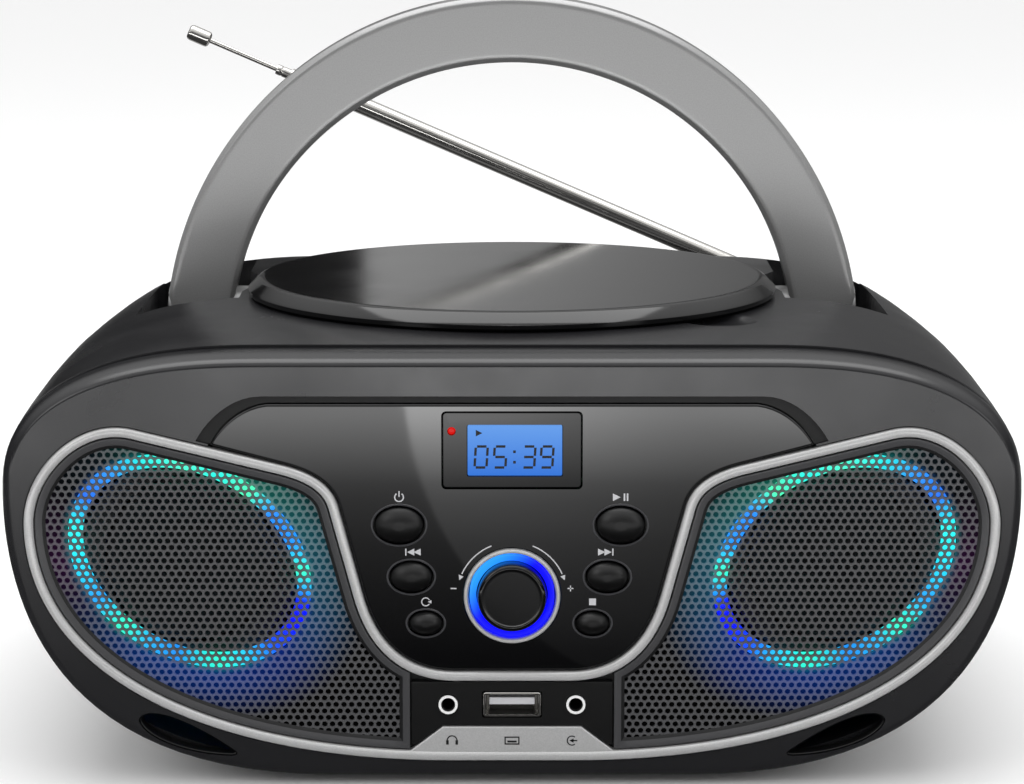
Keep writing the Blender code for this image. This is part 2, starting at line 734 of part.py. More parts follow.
def ports(panel_finish, jack_finish, socket_finish):
    top = TRIM_LOW - TRIM_BAND - GAP
    edge = PORT_HALF_WIDTH
    plate = make("port_panel", prism(rectangle(-edge, LABEL_TOP - 4.6, edge, top), 0.0, PLATE_FRONT - GAP),
                 panel_finish)
    cut(plate, label_clearance())
    shell = (USB_WIDTH / 2, USB_HEIGHT / 2)
    cut(plate, prism(rectangle(-shell[0] - GAP, PORT_Z - shell[1] - GAP, shell[0] + GAP,
                               PORT_Z + shell[1] + GAP), -5, 5))
    for x, name in ((-JACK_X, "headphone_jack"), (JACK_X, "line_in_jack")):
        cut(plate, rod(JACK_NOSE + GAP, (x, -5, PORT_Z), (0, 1, 0), 10, 20))
        nose = -0.5
        shoulder = PLATE_FRONT + GAP
        profile = [
            (0, JACK_BACK - 1.5), (JACK_BORE, JACK_BACK - 1.5), (JACK_BORE, nose), (JACK_NOSE, nose),
            (JACK_NOSE, shoulder), (JACK_BODY, shoulder), (JACK_BODY, JACK_BACK), (0, JACK_BACK),
        ]
        make(name, turned(profile, (x, 0, PORT_Z), (0, 1, 0), 20), jack_finish)
    low = (-shell[0], -0.3, PORT_Z - shell[1])
    socket = make("usb_socket", block(low, (shell[0], JACK_BACK, PORT_Z + shell[1])), socket_finish)
    inner = (shell[0] - USB_SHELL, shell[1] - USB_SHELL)
    back = JACK_BACK - 1.5
    cut(socket, block((-inner[0], -2, PORT_Z - inner[1]), (inner[0], back, PORT_Z + inner[1])))
    tongue = block((-inner[0] + 0.9, 1.0, PORT_Z - 1.0), (inner[0] - 0.9, back + 0.5, PORT_Z + 0.9))
    return add(socket, tongue)


# Disc deck.


def disc_deck(well_finish, metal_finish, motor_finish, sled_finish):
    top = DECK - WALL - GAP
    outer = WELL_RADIUS + WELL_WALL
    profile = [
        (TURNTABLE_RADIUS + 1, WELL_FLOOR), (outer, WELL_FLOOR), (outer, top - 1.8),
        (outer + WELL_FLANGE, top - 1.8), (outer + WELL_FLANGE, top), (WELL_RADIUS, top),
        (WELL_RADIUS, WELL_FLOOR + WELL_WALL), (TURNTABLE_RADIUS + 1, WELL_FLOOR + WELL_WALL),
    ]
    centre = (0.0, LID_D, 0.0)
    well = make("disc_well", turned(profile, centre, (0, 0, 1), 40), well_finish)
    slot_end = TURNTABLE_RADIUS + 17 + SLED_TRAVEL
    cut(well, block((TURNTABLE_RADIUS + 3, LID_D - 8, 80), (slot_end, LID_D + 8, 99)))
    low = TURNTABLE_LOW
    plate = [(0, low), (TURNTABLE_RADIUS, low), (TURNTABLE_RADIUS, low + 2.5)]
    plate += [(HUB_RADIUS, low + 2.5), (HUB_RADIUS - 0.8, low + 4.5), (0, low + 4.5)]
    spin = (0.0, LID_D, low)
    table = make("disc_turntable", turned(plate, centre, (0, 0, 1), 24), metal_finish, spin)
    add(table, rod(1.2, (0, LID_D, WELL_FLOOR - 3), (0, 0, 1), 9.0, 12))
    motor = make("spindle_motor", rod(MOTOR_RADIUS, (0, LID_D, MOTOR_LOW), (0, 0, 1), 15.5, 24), motor_finish)
    cut(motor, rod(1.5, (0, LID_D, WELL_FLOOR - 4), (0, 0, 1), 9.0, 12))
    sled_x = TURNTABLE_RADIUS + 1
    sled = make("laser_sled", block((sled_x, LID_D - 16, 78), (sled_x + 16, LID_D + 7, 88)), sled_finish)
    add(sled, rod(3.0, (sled_x + 8, LID_D, 86.0), (0, 0, 1), 7.0, 16))
    rail = (sled_x - 12, LID_D - 12.5, 83.0)
    cut(sled, rod(1.8, rail, (1, 0, 0), 60, 12))
    make("guide_rod", rod(1.5, rail, (1, 0, 0), 16 + SLED_TRAVEL + 16, 12), metal_finish)


def disc_lid(finish, pin_finish):
    low = DECK + GAP
    high = low + LID_THICKNESS
    under = high - LID_SKIN
    profile = [
        (0, 100.5), (15.0, 100.5), (15.0, under), (WELL_RADIUS - 2, under), (WELL_RADIUS - 2, low),
        (LID_RADIUS - 0.8, low), (LID_RADIUS, low + 0.8), (LID_RADIUS, low + 1.9),
        (LID_TOP_RADIUS, high), (0, high + 0.5),
    ]
    pivot = (0.0, HINGE_D, DECK - HINGE_DROP)
    lid = make("disc_lid", turned(profile, (0, LID_D, 0), (0, 0, 1), 48), finish, pivot)
    hub = HINGE_RADIUS + 2.2
    for side in (-1, 1):
        x0 = side * HINGE_ARM_X - HINGE_ARM_WIDTH / 2
        x1 = x0 + HINGE_ARM_WIDTH
        add(lid, block((x0, LID_D + WELL_RADIUS - 2.5, low + 0.05), (x1, HINGE_D + 1.8, low + 2.6)))
        add(lid, rod(hub, (x0, HINGE_D, pivot[2]), (1, 0, 0), HINGE_ARM_WIDTH, 16))
    cut(lid, rod(HINGE_RADIUS + GAP, (-60, HINGE_D, pivot[2]), (1, 0, 0), 120, 12))
    half = HINGE_POCKET + 2.2
    make("lid_hinge_pin", rod(HINGE_RADIUS, (-half, HINGE_D, pivot[2]), (1, 0, 0), 2 * half, 12), pin_finish)


# Handle.


def handle(finish, pin_finish):
    pivot = (0.0, HANDLE_D, HANDLE_PIVOT_Z)
    half = HANDLE_THICKNESS / 2
    chamfer = HANDLE_CHAMFER
    section = []
    for radius, away in ((HANDLE_INNER, -1), (HANDLE_OUTER, 1)):
        edge = radius - away * chamfer
        corners = [(edge, -half * away), (radius, (-half + chamfer) * away)]
        corners += [(radius, (half - chamfer) * away), (edge, half * away)]
        section += corners
    middle = (HANDLE_INNER + HANDLE_OUTER) / 2
    start = math.asin((HANDLE_PIVOT_Z - HANDLE_CENTRE_Z) / middle)
    loops = []
    steps = 24
    for step in range(steps + 1):
        angle = start + (math.pi - 2 * start) * step / steps
        loop = []
        for radius, across in section:
            up = HANDLE_CENTRE_Z + radius * math.sin(angle)
            loop.append((radius * math.cos(angle), HANDLE_D + across, up))
        loops.append(loop)
    arch = make("handle", skin(loops), finish, pivot)
    for side, word in ((-1, "left"), (1, "right")):
        inner = POCKET_INNER + 0.5
        outer = HANDLE_OUTER - 1.0
        end = (side * inner, HANDLE_D, HANDLE_PIVOT_Z)
        add(arch, rod(half - 0.02, end, (side, 0, 0), outer - inner, 24))
        cut(arch, rod(HANDLE_PIN_RADIUS + GAP, (side * 60, HANDLE_D, HANDLE_PIVOT_Z), (side, 0, 0),
                      inner + HANDLE_PIN_SEAT - 60, 16))
        pin_start = POCKET_INNER - WALL - 0.6
        pin_length = inner + HANDLE_PIN_SEAT - 0.4 - pin_start
        where = (side * pin_start, HANDLE_D, HANDLE_PIVOT_Z)
        pin = rod(HANDLE_PIN_RADIUS, where, (side, 0, 0), pin_length, 16)
        make(f"{word}_handle_pin", pin, pin_finish)


# Antenna.


def antenna(metal_finish, swivel_finish):
    base = Vector((ANTENNA_X, ANTENNA_D, ANTENNA_Z))
    along = Vector((-math.cos(ANTENNA_REST), 0.0, math.sin(ANTENNA_REST)))
    tilt = Vector((math.sin(ANTENNA_REST), 0.0, math.cos(ANTENNA_REST)))
    back = Vector((0.0, 1.0, 0.0))
    frame = Matrix((tilt, back, along)).transposed()

    def fitted(low, high):
        """A block in the antenna's own directions: across the tilt pin's length, back, and along."""
        corners = rectangle(low[0], low[1], high[0], high[1])
        return skin([[base + frame @ Vector((x, y, z)) for x, y in corners] for z in (low[2], high[2])])

    shank = rod(SWIVEL_SHANK, (ANTENNA_X, CABINET_DEPTH - 7, ANTENNA_Z), (0, 1, 0), 7.8, 12)
    swivel = make("antenna_swivel", shank, swivel_finish, tuple(base))
    add(swivel, rod(SWIVEL_FLANGE, (ANTENNA_X, CABINET_DEPTH + GAP, ANTENNA_Z), (0, 1, 0), 1.2, 20))
    for side in (-1, 1):
        low, high = sorted((side * 1.3, side * 3.0))
        add(swivel, fitted((low, CABINET_DEPTH + 1.2 - ANTENNA_D, -3.0), (high, SWIVEL_REACH, 3.0)))
    cut(swivel, rod(SWIVEL_PIN + GAP, tuple(base - tilt * 5), tuple(tilt), 10, 12))
    pin = rod(SWIVEL_PIN, tuple(base - tilt * 3.3), tuple(tilt), 6.6, 12)
    make("antenna_pin", pin, metal_finish, tuple(base))

    first = ANTENNA_PIECES["antenna_tube"][1]
    for name, (radius, start, end) in ANTENNA_PIECES.items():
        bore = radius - TUBE_WALL
        profile = [(0, start), (radius, start), (radius, end), (bore, end), (bore, start + 4), (0, start + 4)]
        section = make(name, turned(profile, tuple(base), tuple(along), 12), metal_finish, tuple(base))
        if start == first:
            add(section, rod(2.3, tuple(base - tilt), tuple(tilt), 2.0, 16))
            add(section, fitted((-1.0, -2.0, 0.0), (1.0, 2.0, start + 1.0)))
            cut(section, rod(SWIVEL_PIN + GAP, tuple(base - tilt * 3), tuple(tilt), 6, 12))
    profile = [
        (0, TIP_START), (TIP_ROD, TIP_START), (TIP_ROD, TIP_END), (TIP_CAP, TIP_END + 0.5),
        (TIP_CAP, TIP_CAP_END - 0.6), (TIP_CAP - 0.6, TIP_CAP_END), (0, TIP_CAP_END),
    ]
    make("antenna_tip", turned(profile, tuple(base), tuple(along), 12), metal_finish, tuple(base))


# Inside and back.


def power_parts(box_finish, door_finish, board_finish, iron_finish, screw_finish):
    half = BATTERY_HALF_WIDTH + BOX_WALL
    back = CABINET_DEPTH - WALL - GAP
    box = make("battery_box", block((-half, BATTERY_FRONT, BATTERY_LOW - BOX_WALL),
                                    (half, back, BATTERY_HIGH + BOX_WALL)), box_finish)
    cut(box, block((-half + BOX_WALL, BATTERY_FRONT + BOX_WALL, BATTERY_LOW),
                   (half - BOX_WALL, back + 1, BATTERY_HIGH)))
    edge = rectangle(-BATTERY_HALF_WIDTH, BATTERY_LOW, BATTERY_HALF_WIDTH, BATTERY_HIGH)
    plate = prism(inset(edge, GAP), CABINET_DEPTH - WALL + 0.1, CABINET_DEPTH - GAP)
    pull = (0.0, CABINET_DEPTH, (BATTERY_LOW + BATTERY_HIGH) / 2)
    door = make("battery_door", plate, door_finish, pull)
    cut(door, rod(7.0, (0, CABINET_DEPTH - 1.4, BATTERY_HIGH - 8), (0, 1, 0), 5, 24))
    outer = rectangle(INLET_X - INLET_WIDTH / 2, INLET_Z - INLET_HEIGHT / 2,
                      INLET_X + INLET_WIDTH / 2, INLET_Z + INLET_HEIGHT / 2, 2.0)
    inlet = make("mains_inlet", prism(outer, CABINET_DEPTH - INLET_DEPTH, CABINET_DEPTH - GAP), box_finish)
    cut(inlet, prism(inset(outer, 1.7), CABINET_DEPTH - INLET_DEPTH + 2, CABINET_DEPTH + 1))
    for side in (-1, 1):
        prong = (INLET_X + side * 4.3, CABINET_DEPTH - INLET_DEPTH + 1, INLET_Z)
        add(inlet, rod(1.1, prong, (0, 1, 0), 8.0, 10))
    core = make("transformer", block(*TRANSFORMER_CORE), iron_finish)
    add(core, block(*TRANSFORMER_COIL))
    make("main_board", block(*MAIN_BOARD), board_finish)
    for name, (x, z) in SCREW_PLACES.items():
        seat = SCREW_SEAT + GAP
        profile = [
            (0, SCREW_TIP), (SCREW_SHANK, SCREW_TIP), (SCREW_SHANK, seat), (SCREW_HEAD, seat),
            (SCREW_HEAD, seat + 1.1), (SCREW_HEAD - 0.8, seat + 1.5), (0, seat + 1.5),
        ]
        make(name, turned(profile, (x, 0, z), (0, 1, 0), 12), screw_finish)


def main():
    clear_scene()
    black = material("gloss_black_abs", (0.012, 0.012, 0.013), 0.28)
    satin = material("satin_black_abs", (0.02, 0.02, 0.021), 0.45)
    grey = material("grey_abs", (0.09, 0.09, 0.09), 0.4)
    silver = material("silver_lacquer", (0.36, 0.36, 0.36), 0.35, 0.8)
    steel = material("plated_steel", (0.6, 0.6, 0.6), 0.2, 1.0)
    glass = material("smoked_window", (0.01, 0.01, 0.012), 0.08)
    blue = material("blue_light", (0.0, 0.03, 0.9), 0.3)
    teal = material("teal_light", (0.0, 0.5, 0.7), 0.3)
    red = material("red_light", (0.6, 0.0, 0.0), 0.3)
    board = material("circuit_board", (0.02, 0.12, 0.05), 0.5)
    paper = material("cone_paper", (0.02, 0.02, 0.02), 0.8)
    rubber = material("rubber", (0.015, 0.015, 0.015), 0.7)
    front_cabinet(black)
    rear_cabinet(black)
    feet(rubber)
    trim_frame(silver)
    speaker_fronts(grey, satin, teal)
    speakers(steel, paper)
    vents(satin)
    control_panel(black)
    display(glass, blue, red)
    buttons(black)
    volume_control(black, silver, blue)
    control_board(board)
    ports(satin, steel, steel)
    disc_deck(satin, steel, steel, satin)
    disc_lid(black, steel)
    handle(silver, steel)
    antenna(steel, satin)
    power_parts(satin, satin, board, steel, steel)


main()
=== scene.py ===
"""Finishes for a portable disc and radio boombox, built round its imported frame."""

import math

import bmesh
import bpy
from bpy.props import FloatProperty, FloatVectorProperty, PointerProperty
from mathutils import Matrix, Vector


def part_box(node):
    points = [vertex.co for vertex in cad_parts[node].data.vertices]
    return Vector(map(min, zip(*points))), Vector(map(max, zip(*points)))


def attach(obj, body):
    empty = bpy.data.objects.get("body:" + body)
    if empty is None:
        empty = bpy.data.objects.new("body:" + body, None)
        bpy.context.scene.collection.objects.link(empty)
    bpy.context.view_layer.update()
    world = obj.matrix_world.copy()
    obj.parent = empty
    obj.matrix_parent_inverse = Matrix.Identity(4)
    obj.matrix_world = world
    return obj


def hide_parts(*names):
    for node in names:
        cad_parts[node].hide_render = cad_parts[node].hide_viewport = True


bl_info = {
    "name": "Boombox finishes",
    "version": (1, 0, 0),
    "blender": (4, 5, 0),
    "location": "View3D > Sidebar > Boombox",
    "description": "Builds the visible shells, grilles, lights, controls and metalwork of a boombox",
    "category": "Add Mesh",
}

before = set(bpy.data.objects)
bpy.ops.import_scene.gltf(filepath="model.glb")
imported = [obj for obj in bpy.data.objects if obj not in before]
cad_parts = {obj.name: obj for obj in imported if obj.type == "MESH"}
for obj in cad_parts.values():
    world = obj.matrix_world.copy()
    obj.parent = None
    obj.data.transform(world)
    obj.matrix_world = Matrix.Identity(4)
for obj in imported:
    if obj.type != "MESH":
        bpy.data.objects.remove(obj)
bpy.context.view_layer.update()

# Places read from the frame. Lengths in this file are millimetres: x to the right, d behind the
# front face and z above the cabinet's underside.
MM = 0.001
SHELL_LOW, SHELL_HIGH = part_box("front_cabinet")
REAR_LOW, REAR_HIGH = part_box("rear_cabinet")
HALF_WIDTH = SHELL_HIGH.x / MM
FRONT_Y = SHELL_LOW.y
BASE_Z = SHELL_LOW.z
TOP = (SHELL_HIGH.z - BASE_Z) / MM
FRONT_DEPTH = (SHELL_HIGH.y - FRONT_Y) / MM
SEAM = (REAR_LOW.y - FRONT_Y) / MM
DEPTH = (REAR_HIGH.y - FRONT_Y) / MM
DECK = (REAR_HIGH.z - BASE_Z) / MM
GAP = 0.3
WALL = 2.5


def middle_of(node):
    """The middle of a node's box, in this file's millimetres."""
    low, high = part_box(node)
    centre = (low + high) / 2
    return centre.x / MM, (centre.y - FRONT_Y) / MM, (centre.z - BASE_Z) / MM


def span_of(node):
    """A node's lowest and highest corner, in this file's millimetres."""
    return [(c.x / MM, (c.y - FRONT_Y) / MM, (c.z - BASE_Z) / MM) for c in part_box(node)]


def place(point):
    """A point in millimetres, as frame metres."""
    return Vector((point[0] * MM, FRONT_Y + point[1] * MM, BASE_Z + point[2] * MM))


# Colours and nodes.


def linear(code, alpha=1.0):
    """An sRGB hex colour as linear values."""
    values = [int(code[i:i + 2], 16) / 255 for i in (1, 3, 5)]
    return (*(v / 12.92 if v <= 0.04045 else ((v + 0.055) / 1.055) ** 2.4 for v in values), alpha)


def add_node(tree, kind, settings=None, links=None):
    """A node with its settings and socket values; links maps an input to the socket that feeds it."""
    node = tree.nodes.new(kind)
    for name, value in (settings or {}).items():
        if isinstance(name, str) and hasattr(node, name):
            setattr(node, name, value)
        else:
            node.inputs[name].default_value = value
    for name, socket in (links or {}).items():
        tree.links.new(socket, node.inputs[name])
    return node


def new_material(name, **values):
    """A material with its shader's own values set: (material, tree, shader, object coordinates)."""
    made = bpy.data.materials.new(name)
    made.use_nodes = True
    tree = made.node_tree
    shader = tree.nodes["Principled BSDF"]
    for key, value in values.items():
        shader.inputs[key.replace("_", " ")].default_value = value
    where = add_node(tree, "ShaderNodeTexCoord").outputs["Object"]
    return made, tree, shader, where


def grain(tree, shader, where, size, depth, detail=2.0):
    """Bump from noise whose lumps are this many millimetres across and deep."""
    noise = add_node(tree, "ShaderNodeTexNoise", {"Scale": 1 / (size * MM), "Detail": detail},
                     {"Vector": where})
    bump = add_node(tree, "ShaderNodeBump", {"Strength": 1.0, "Distance": depth * MM},
                    {"Height": noise.outputs["Fac"]})
    tree.links.new(bump.outputs["Normal"], shader.inputs["Normal"])
    return noise


def smudges(tree, shader, where, size, low, high):
    """Roughness that wanders between two values over patches of this many millimetres."""
    noise = add_node(tree, "ShaderNodeTexNoise", {"Scale": 1 / (size * MM), "Detail": 5.0},
                     {"Vector": where})
    spread = add_node(tree, "ShaderNodeMapRange", {"From Min": 0.3, "From Max": 0.7, "To Min": low,
                                                   "To Max": high}, {"Value": noise.outputs["Fac"]})
    tree.links.new(spread.outputs["Result"], shader.inputs["Roughness"])


def gloss_abs(name, code, low, high, wave=0.012, ior=1.54):
    """Polished-mould ABS: a deep gloss with the faint waviness and handling haze of thick plastic."""
    made, tree, shader, where = new_material(name, Base_Color=linear(code), IOR=ior)
    grain(tree, shader, where, 9.0, wave, 1.0)
    smudges(tree, shader, where, 22.0, low, high)
    return made


def satin_abs(name, code, roughness, size=0.5):
    """Spark-eroded ABS: a fine even grain, drawn at half a millimetre so that it shows."""
    made, tree, shader, where = new_material(name, Base_Color=linear(code), IOR=1.54, Roughness=roughness)
    grain(tree, shader, where, size, 0.03)
    return made


def lacquer(name, code, roughness, metallic):
    """Metal-flake lacquer on ABS: flakes 0.3 mm apart lift the value, with a soft orange peel."""
    made, tree, shader, where = new_material(name, Metallic=metallic, Roughness=roughness, Coat_Weight=0.25,
                                             Coat_Roughness=0.12)
    flakes = add_node(tree, "ShaderNodeTexNoise", {"Scale": 1 / (0.35 * MM), "Detail": 2.0},
                      {"Vector": where})
    shade = add_node(tree, "ShaderNodeMapRange", {"From Min": 0.35, "From Max": 0.65, "To Min": 0.94,
                                                  "To Max": 1.05}, {"Value": flakes.outputs["Fac"]})
    tint = add_node(tree, "ShaderNodeVectorMath", {"operation": "SCALE", 0: linear(code)[:3]},
                    {"Scale": shade.outputs["Result"]})
    tree.links.new(tint.outputs["Vector"], shader.inputs["Base Color"])
    grain(tree, shader, where, 1.2, 0.006, 1.0)
    return made


def bright_metal(name, code, roughness):
    """Nickel-plated steel: mirror bright, with roughness that wanders over patches a few millimetres across.
    """
    made, tree, shader, where = new_material(name, Base_Color=linear(code), Metallic=1.0)
    smudges(tree, shader, where, 3.0, roughness * 0.7, roughness * 1.5)
    return made


def plain_light(name, code, strength):
    """A backlit moulding: its colour comes from the lamp behind it."""
    made, _, shader, _ = new_material(name, Base_Color=linear("#101010"), Roughness=0.35)
    shader.inputs["Emission Color"].default_value = linear(code)
    shader.inputs["Emission Strength"].default_value = strength
    return made


def knob_glow(name):
    """The knob's diffuser: deep blue, paler at the upper left where its lamp sits."""
    made, tree, shader, where = new_material(name, Base_Color=linear("#101010"), Roughness=0.35)
    low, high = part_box("volume_light_ring")
    middle = (low + high) / 2
    reach = (high.x - low.x) / 2
    lean = add_node(tree, "ShaderNodeVectorMath",
                    {"operation": "DOT_PRODUCT", 1: (-0.7 / reach, 0.0, 0.7 / reach)},
                    {0: add_node(tree, "ShaderNodeVectorMath", {"operation": "SUBTRACT", 1: tuple(middle)},
                                 {0: where}).outputs["Vector"]})
    share = add_node(tree, "ShaderNodeMapRange", {"interpolation_type": "SMOOTHSTEP", "From Min": 0.1,
                                                  "From Max": 1.0}, {"Value": lean.outputs["Value"]})
    shade = add_node(tree, "ShaderNodeMix", {"data_type": "RGBA", 6: linear("#0606ff"), 7: linear("#2494ff")},
                     {0: share.outputs["Result"]})
    tree.links.new(shade.outputs[2], shader.inputs["Emission Color"])
    shader.inputs["Emission Strength"].default_value = 1.3
    return made


def oval_reach(tree, where, side):
    """How far a point is from a speaker's centre, where the lit oval's outer edge is 1."""
    x, _, z = middle_of(f"{side}_light_ring")
    centre = place((x, 0.0, z))
    turn = OVAL_TILT if side == "left" else -OVAL_TILT
    mapping = add_node(tree, "ShaderNodeMapping", {
        "vector_type": "TEXTURE", "Location": (centre.x, FRONT_Y, centre.z), "Rotation": (0.0, turn, 0.0),
        "Scale": (OVAL_LONG * MM, 1.0, OVAL_SHORT * MM)}, {"Vector": where})
    length = add_node(tree, "ShaderNodeVectorMath", {"operation": "LENGTH"}, {0: mapping.outputs["Vector"]})
    return length.outputs["Value"]


# The lamps round a speaker, by angle in degrees from its inner side, anticlockwise on the left one.
LAMP_TURN = ((-180, "#28d8f0"), (-158, "#2898e8"), (-136, "#38f0c0"), (-118, "#28a8e0"), (-98, "#1f84e0"),
             (-75, "#30f0c8"), (-60, "#28c0e8"), (-46, "#1a50f0"), (-33, "#0810ff"), (-20, "#0c20ff"),
             (-5, "#3cf0c0"), (10, "#2090ff"), (31, "#2a86f0"), (50, "#50f0b0"), (72, "#28e8d8"),
             (93, "#50f8c8"), (113, "#28e0d8"), (131, "#2f8fe8"), (148, "#2a6ae0"), (163, "#30f0e8"),
             (180, "#28d8f0"))
# Colours of the painted spill glow round a speaker, by angle as above: painted light standing in for what the
# lamps throw on the grille and felt.
PAINTED_SPILL_TURN = ((-180, "#3a1440"), (-165, "#241238"), (-145, "#0c2f60"), (-120, "#0a3f90"), (-80, "#083a96"),
              (-45, "#0a2f88"), (-15, "#1e5a78"), (15, "#27707c"), (45, "#1f7a6c"), (80, "#157862"),
              (105, "#105a50"), (130, "#081c24"), (150, "#060a10"), (168, "#2a1030"), (180, "#3a1440"))


def turn_ramp(tree, where, side, stops):
    """A colour that changes with the angle round a speaker."""
    x, _, z = middle_of(f"{side}_light_ring")
    centre = place((x, 0.0, z))
    offset = add_node(tree, "ShaderNodeVectorMath", {"operation": "SUBTRACT", 1: (centre.x, 0.0, centre.z)},
                      {0: where})
    apart = add_node(tree, "ShaderNodeSeparateXYZ", None, {"Vector": offset.outputs["Vector"]})
    inward = add_node(tree, "ShaderNodeMath", {"operation": "MULTIPLY", 1: 1.0 if side == "left" else -1.0},
                      {0: apart.outputs["X"]})
    angle = add_node(tree, "ShaderNodeMath", {"operation": "ARCTAN2"},
                     {0: apart.outputs["Z"], 1: inward.outputs["Value"]})
    share = add_node(tree, "ShaderNodeMapRange", {"From Min": -math.pi, "From Max": math.pi},
                     {"Value": angle.outputs["Value"]})
    ramp = add_node(tree, "ShaderNodeValToRGB", None, {"Fac": share.outputs["Result"]})
    elements = ramp.color_ramp.elements
    while len(elements) < len(stops):
        elements.new(0.5)
    for element, (degrees, code) in zip(elements, stops):
        element.position = (degrees + 180) / 360
        element.color = linear(code)
    return ramp.outputs["Color"]


def oval_lamp(side, props):
    """Milky diffuser over coloured lamps: sea-green spots between blues, sinking to deep blue low inside."""
    made, tree, shader, where = new_material(f"milky_lamp_diffuser_{side}", Base_Color=linear("#101418"),
                                             Roughness=0.4)
    tree.links.new(turn_ramp(tree, where, side, LAMP_TURN), shader.inputs["Emission Color"])
    shader.inputs["Emission Strength"].default_value = props.lamp_strength
    return made


def painted_glow_surface(name, side, code, roughness, metallic, painted_ring_share, painted_spill_share):
    """A surface near the lit oval, with painted glow: the lamps' own colour painted over the oval, and
    painted spill light outside it.
    """
    made, tree, shader, where = new_material(name, Base_Color=linear(code), Roughness=roughness,
                                             Metallic=metallic)
    reach = oval_reach(tree, where, side)
    on_ring = add_node(tree, "ShaderNodeMapRange", {"interpolation_type": "SMOOTHSTEP", "From Min": 0.82,
                                                    "From Max": 0.9, "To Min": 0.0, "To Max": painted_ring_share},
                       {"Value": reach})
    off_ring = add_node(tree, "ShaderNodeMapRange", {"interpolation_type": "SMOOTHSTEP", "From Min": 0.98,
                                                     "From Max": 1.06, "To Min": 1.0, "To Max": 0.0},
                        {"Value": reach})
    ring = add_node(tree, "ShaderNodeMath", {"operation": "MULTIPLY"},
                    {0: on_ring.outputs["Result"], 1: off_ring.outputs["Result"]})
    lamp = add_node(tree, "ShaderNodeVectorMath", {"operation": "SCALE"},
                    {0: turn_ramp(tree, where, side, LAMP_TURN), "Scale": ring.outputs["Value"]})
    # Painted spill light: emission that fades outwards from the oval's edge.
    begins = add_node(tree, "ShaderNodeMapRange", {"interpolation_type": "SMOOTHSTEP", "From Min": 0.94,
                                                   "From Max": 1.03}, {"Value": reach})
    ends = add_node(tree, "ShaderNodeMapRange", {"interpolation_type": "SMOOTHSTEP", "From Min": 1.02,
                                                 "From Max": 1.48, "To Min": painted_spill_share, "To Max": 0.0},
                    {"Value": reach})
    spread = add_node(tree, "ShaderNodeMath", {"operation": "MULTIPLY"},
                      {0: begins.outputs["Result"], 1: ends.outputs["Result"]})
    painted_spill_light = add_node(tree, "ShaderNodeVectorMath", {"operation": "SCALE"},
                     {0: turn_ramp(tree, where, side, PAINTED_SPILL_TURN), "Scale": spread.outputs["Value"]})
    total = add_node(tree, "ShaderNodeVectorMath", {"operation": "ADD"},
                     {0: lamp.outputs["Vector"], 1: painted_spill_light.outputs["Vector"]})
    tree.links.new(total.outputs["Vector"], shader.inputs["Emission Color"])
    shader.inputs["Emission Strength"].default_value = 1.0
    return made, tree, shader, where


def grille_paint(side, props):
    """Powder-coated perforated steel: mid grey with a fine grain, and painted glow from the lamps behind it.
    """
    made, tree, shader, where = painted_glow_surface(f"powder_coated_steel_{side}", side, "#48484a", 0.45, 0.0,
                                            0.03 * props.lamp_strength, 0.6 * props.painted_spill_strength)
    grain(tree, shader, where, 0.4, 0.02)
    return made


def lamp_backing(side, props):
    """Black felt behind the grille, with painted spill glow from the oval."""
    made, tree, shader, where = painted_glow_surface(f"black_felt_{side}", side, "#040405", 0.9, 0.0,
                                            0.1 * props.lamp_strength, 0.4 * props.painted_spill_strength)
    grain(tree, shader, where, 0.6, 0.08)
    return made


def lcd_glow(name, props):
    """Backlit liquid crystal: an even blue, a little paler towards its top where the diffuser is thin."""
    made, tree, shader, where = new_material(name, Base_Color=linear("#06183a"), Roughness=0.3,
                                             Specular_IOR_Level=0.2)
    low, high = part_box("lcd_module")
    apart = add_node(tree, "ShaderNodeSeparateXYZ", None, {"Vector": where})
    fade = add_node(tree, "ShaderNodeMapRange", {"From Min": low.z, "From Max": high.z, "To Min": 0.0,
                                                 "To Max": 1.0}, {"Value": apart.outputs["Z"]})
    shade = add_node(tree, "ShaderNodeMix", {"data_type": "RGBA", 6: (*props.lcd_blue, 1.0),
                                             7: linear("#6aa8f6")}, {0: fade.outputs["Result"]})
    tree.links.new(shade.outputs[2], shader.inputs["Emission Color"])
    shader.inputs["Emission Strength"].default_value = 0.85
    return made


def glass_fibre_board(name):
    """Green solder mask over glass cloth, with pale copper runs a few millimetres apart."""
    made, tree, shader, where = new_material(name, Roughness=0.35)
    runs = add_node(tree, "ShaderNodeTexBrick", {
        "offset": 0.37, "Color1": linear("#1d5a35"), "Color2": linear("#1a5030"), "Mortar": linear("#3d8a55"),
        "Scale": 1 / (9 * MM), "Mortar Size": 0.03}, {"Vector": where})
    tree.links.new(runs.outputs["Color"], shader.inputs["Base Color"])
    grain(tree, shader, where, 0.8, 0.03)
    return made


def cone_paper(name):
    """Pressed paper pulp: matt charcoal with fine fibres."""
    made, tree, shader, where = new_material(name, Roughness=0.85)
    fibre = grain(tree, shader, where, 0.7, 0.08, 6.0)
    shade = add_node(tree, "ShaderNodeMix", {"data_type": "RGBA", 6: linear("#1c1c1e"),
                                             7: linear("#2c2c2e")}, {0: fibre.outputs["Fac"]})
    tree.links.new(shade.outputs[2], shader.inputs["Base Color"])
    return made


def moulded_rubber(name):
    """Thermoplastic rubber: soft black with a dusty bloom."""
    made, tree, shader, where = new_material(name, Roughness=0.75)
    bloom = grain(tree, shader, where, 1.0, 0.05, 4.0)
    shade = add_node(tree, "ShaderNodeMix", {"data_type": "RGBA", 6: linear("#141414"),
                                             7: linear("#242423")}, {0: bloom.outputs["Fac"]})
    tree.links.new(shade.outputs[2], shader.inputs["Base Color"])
    return made
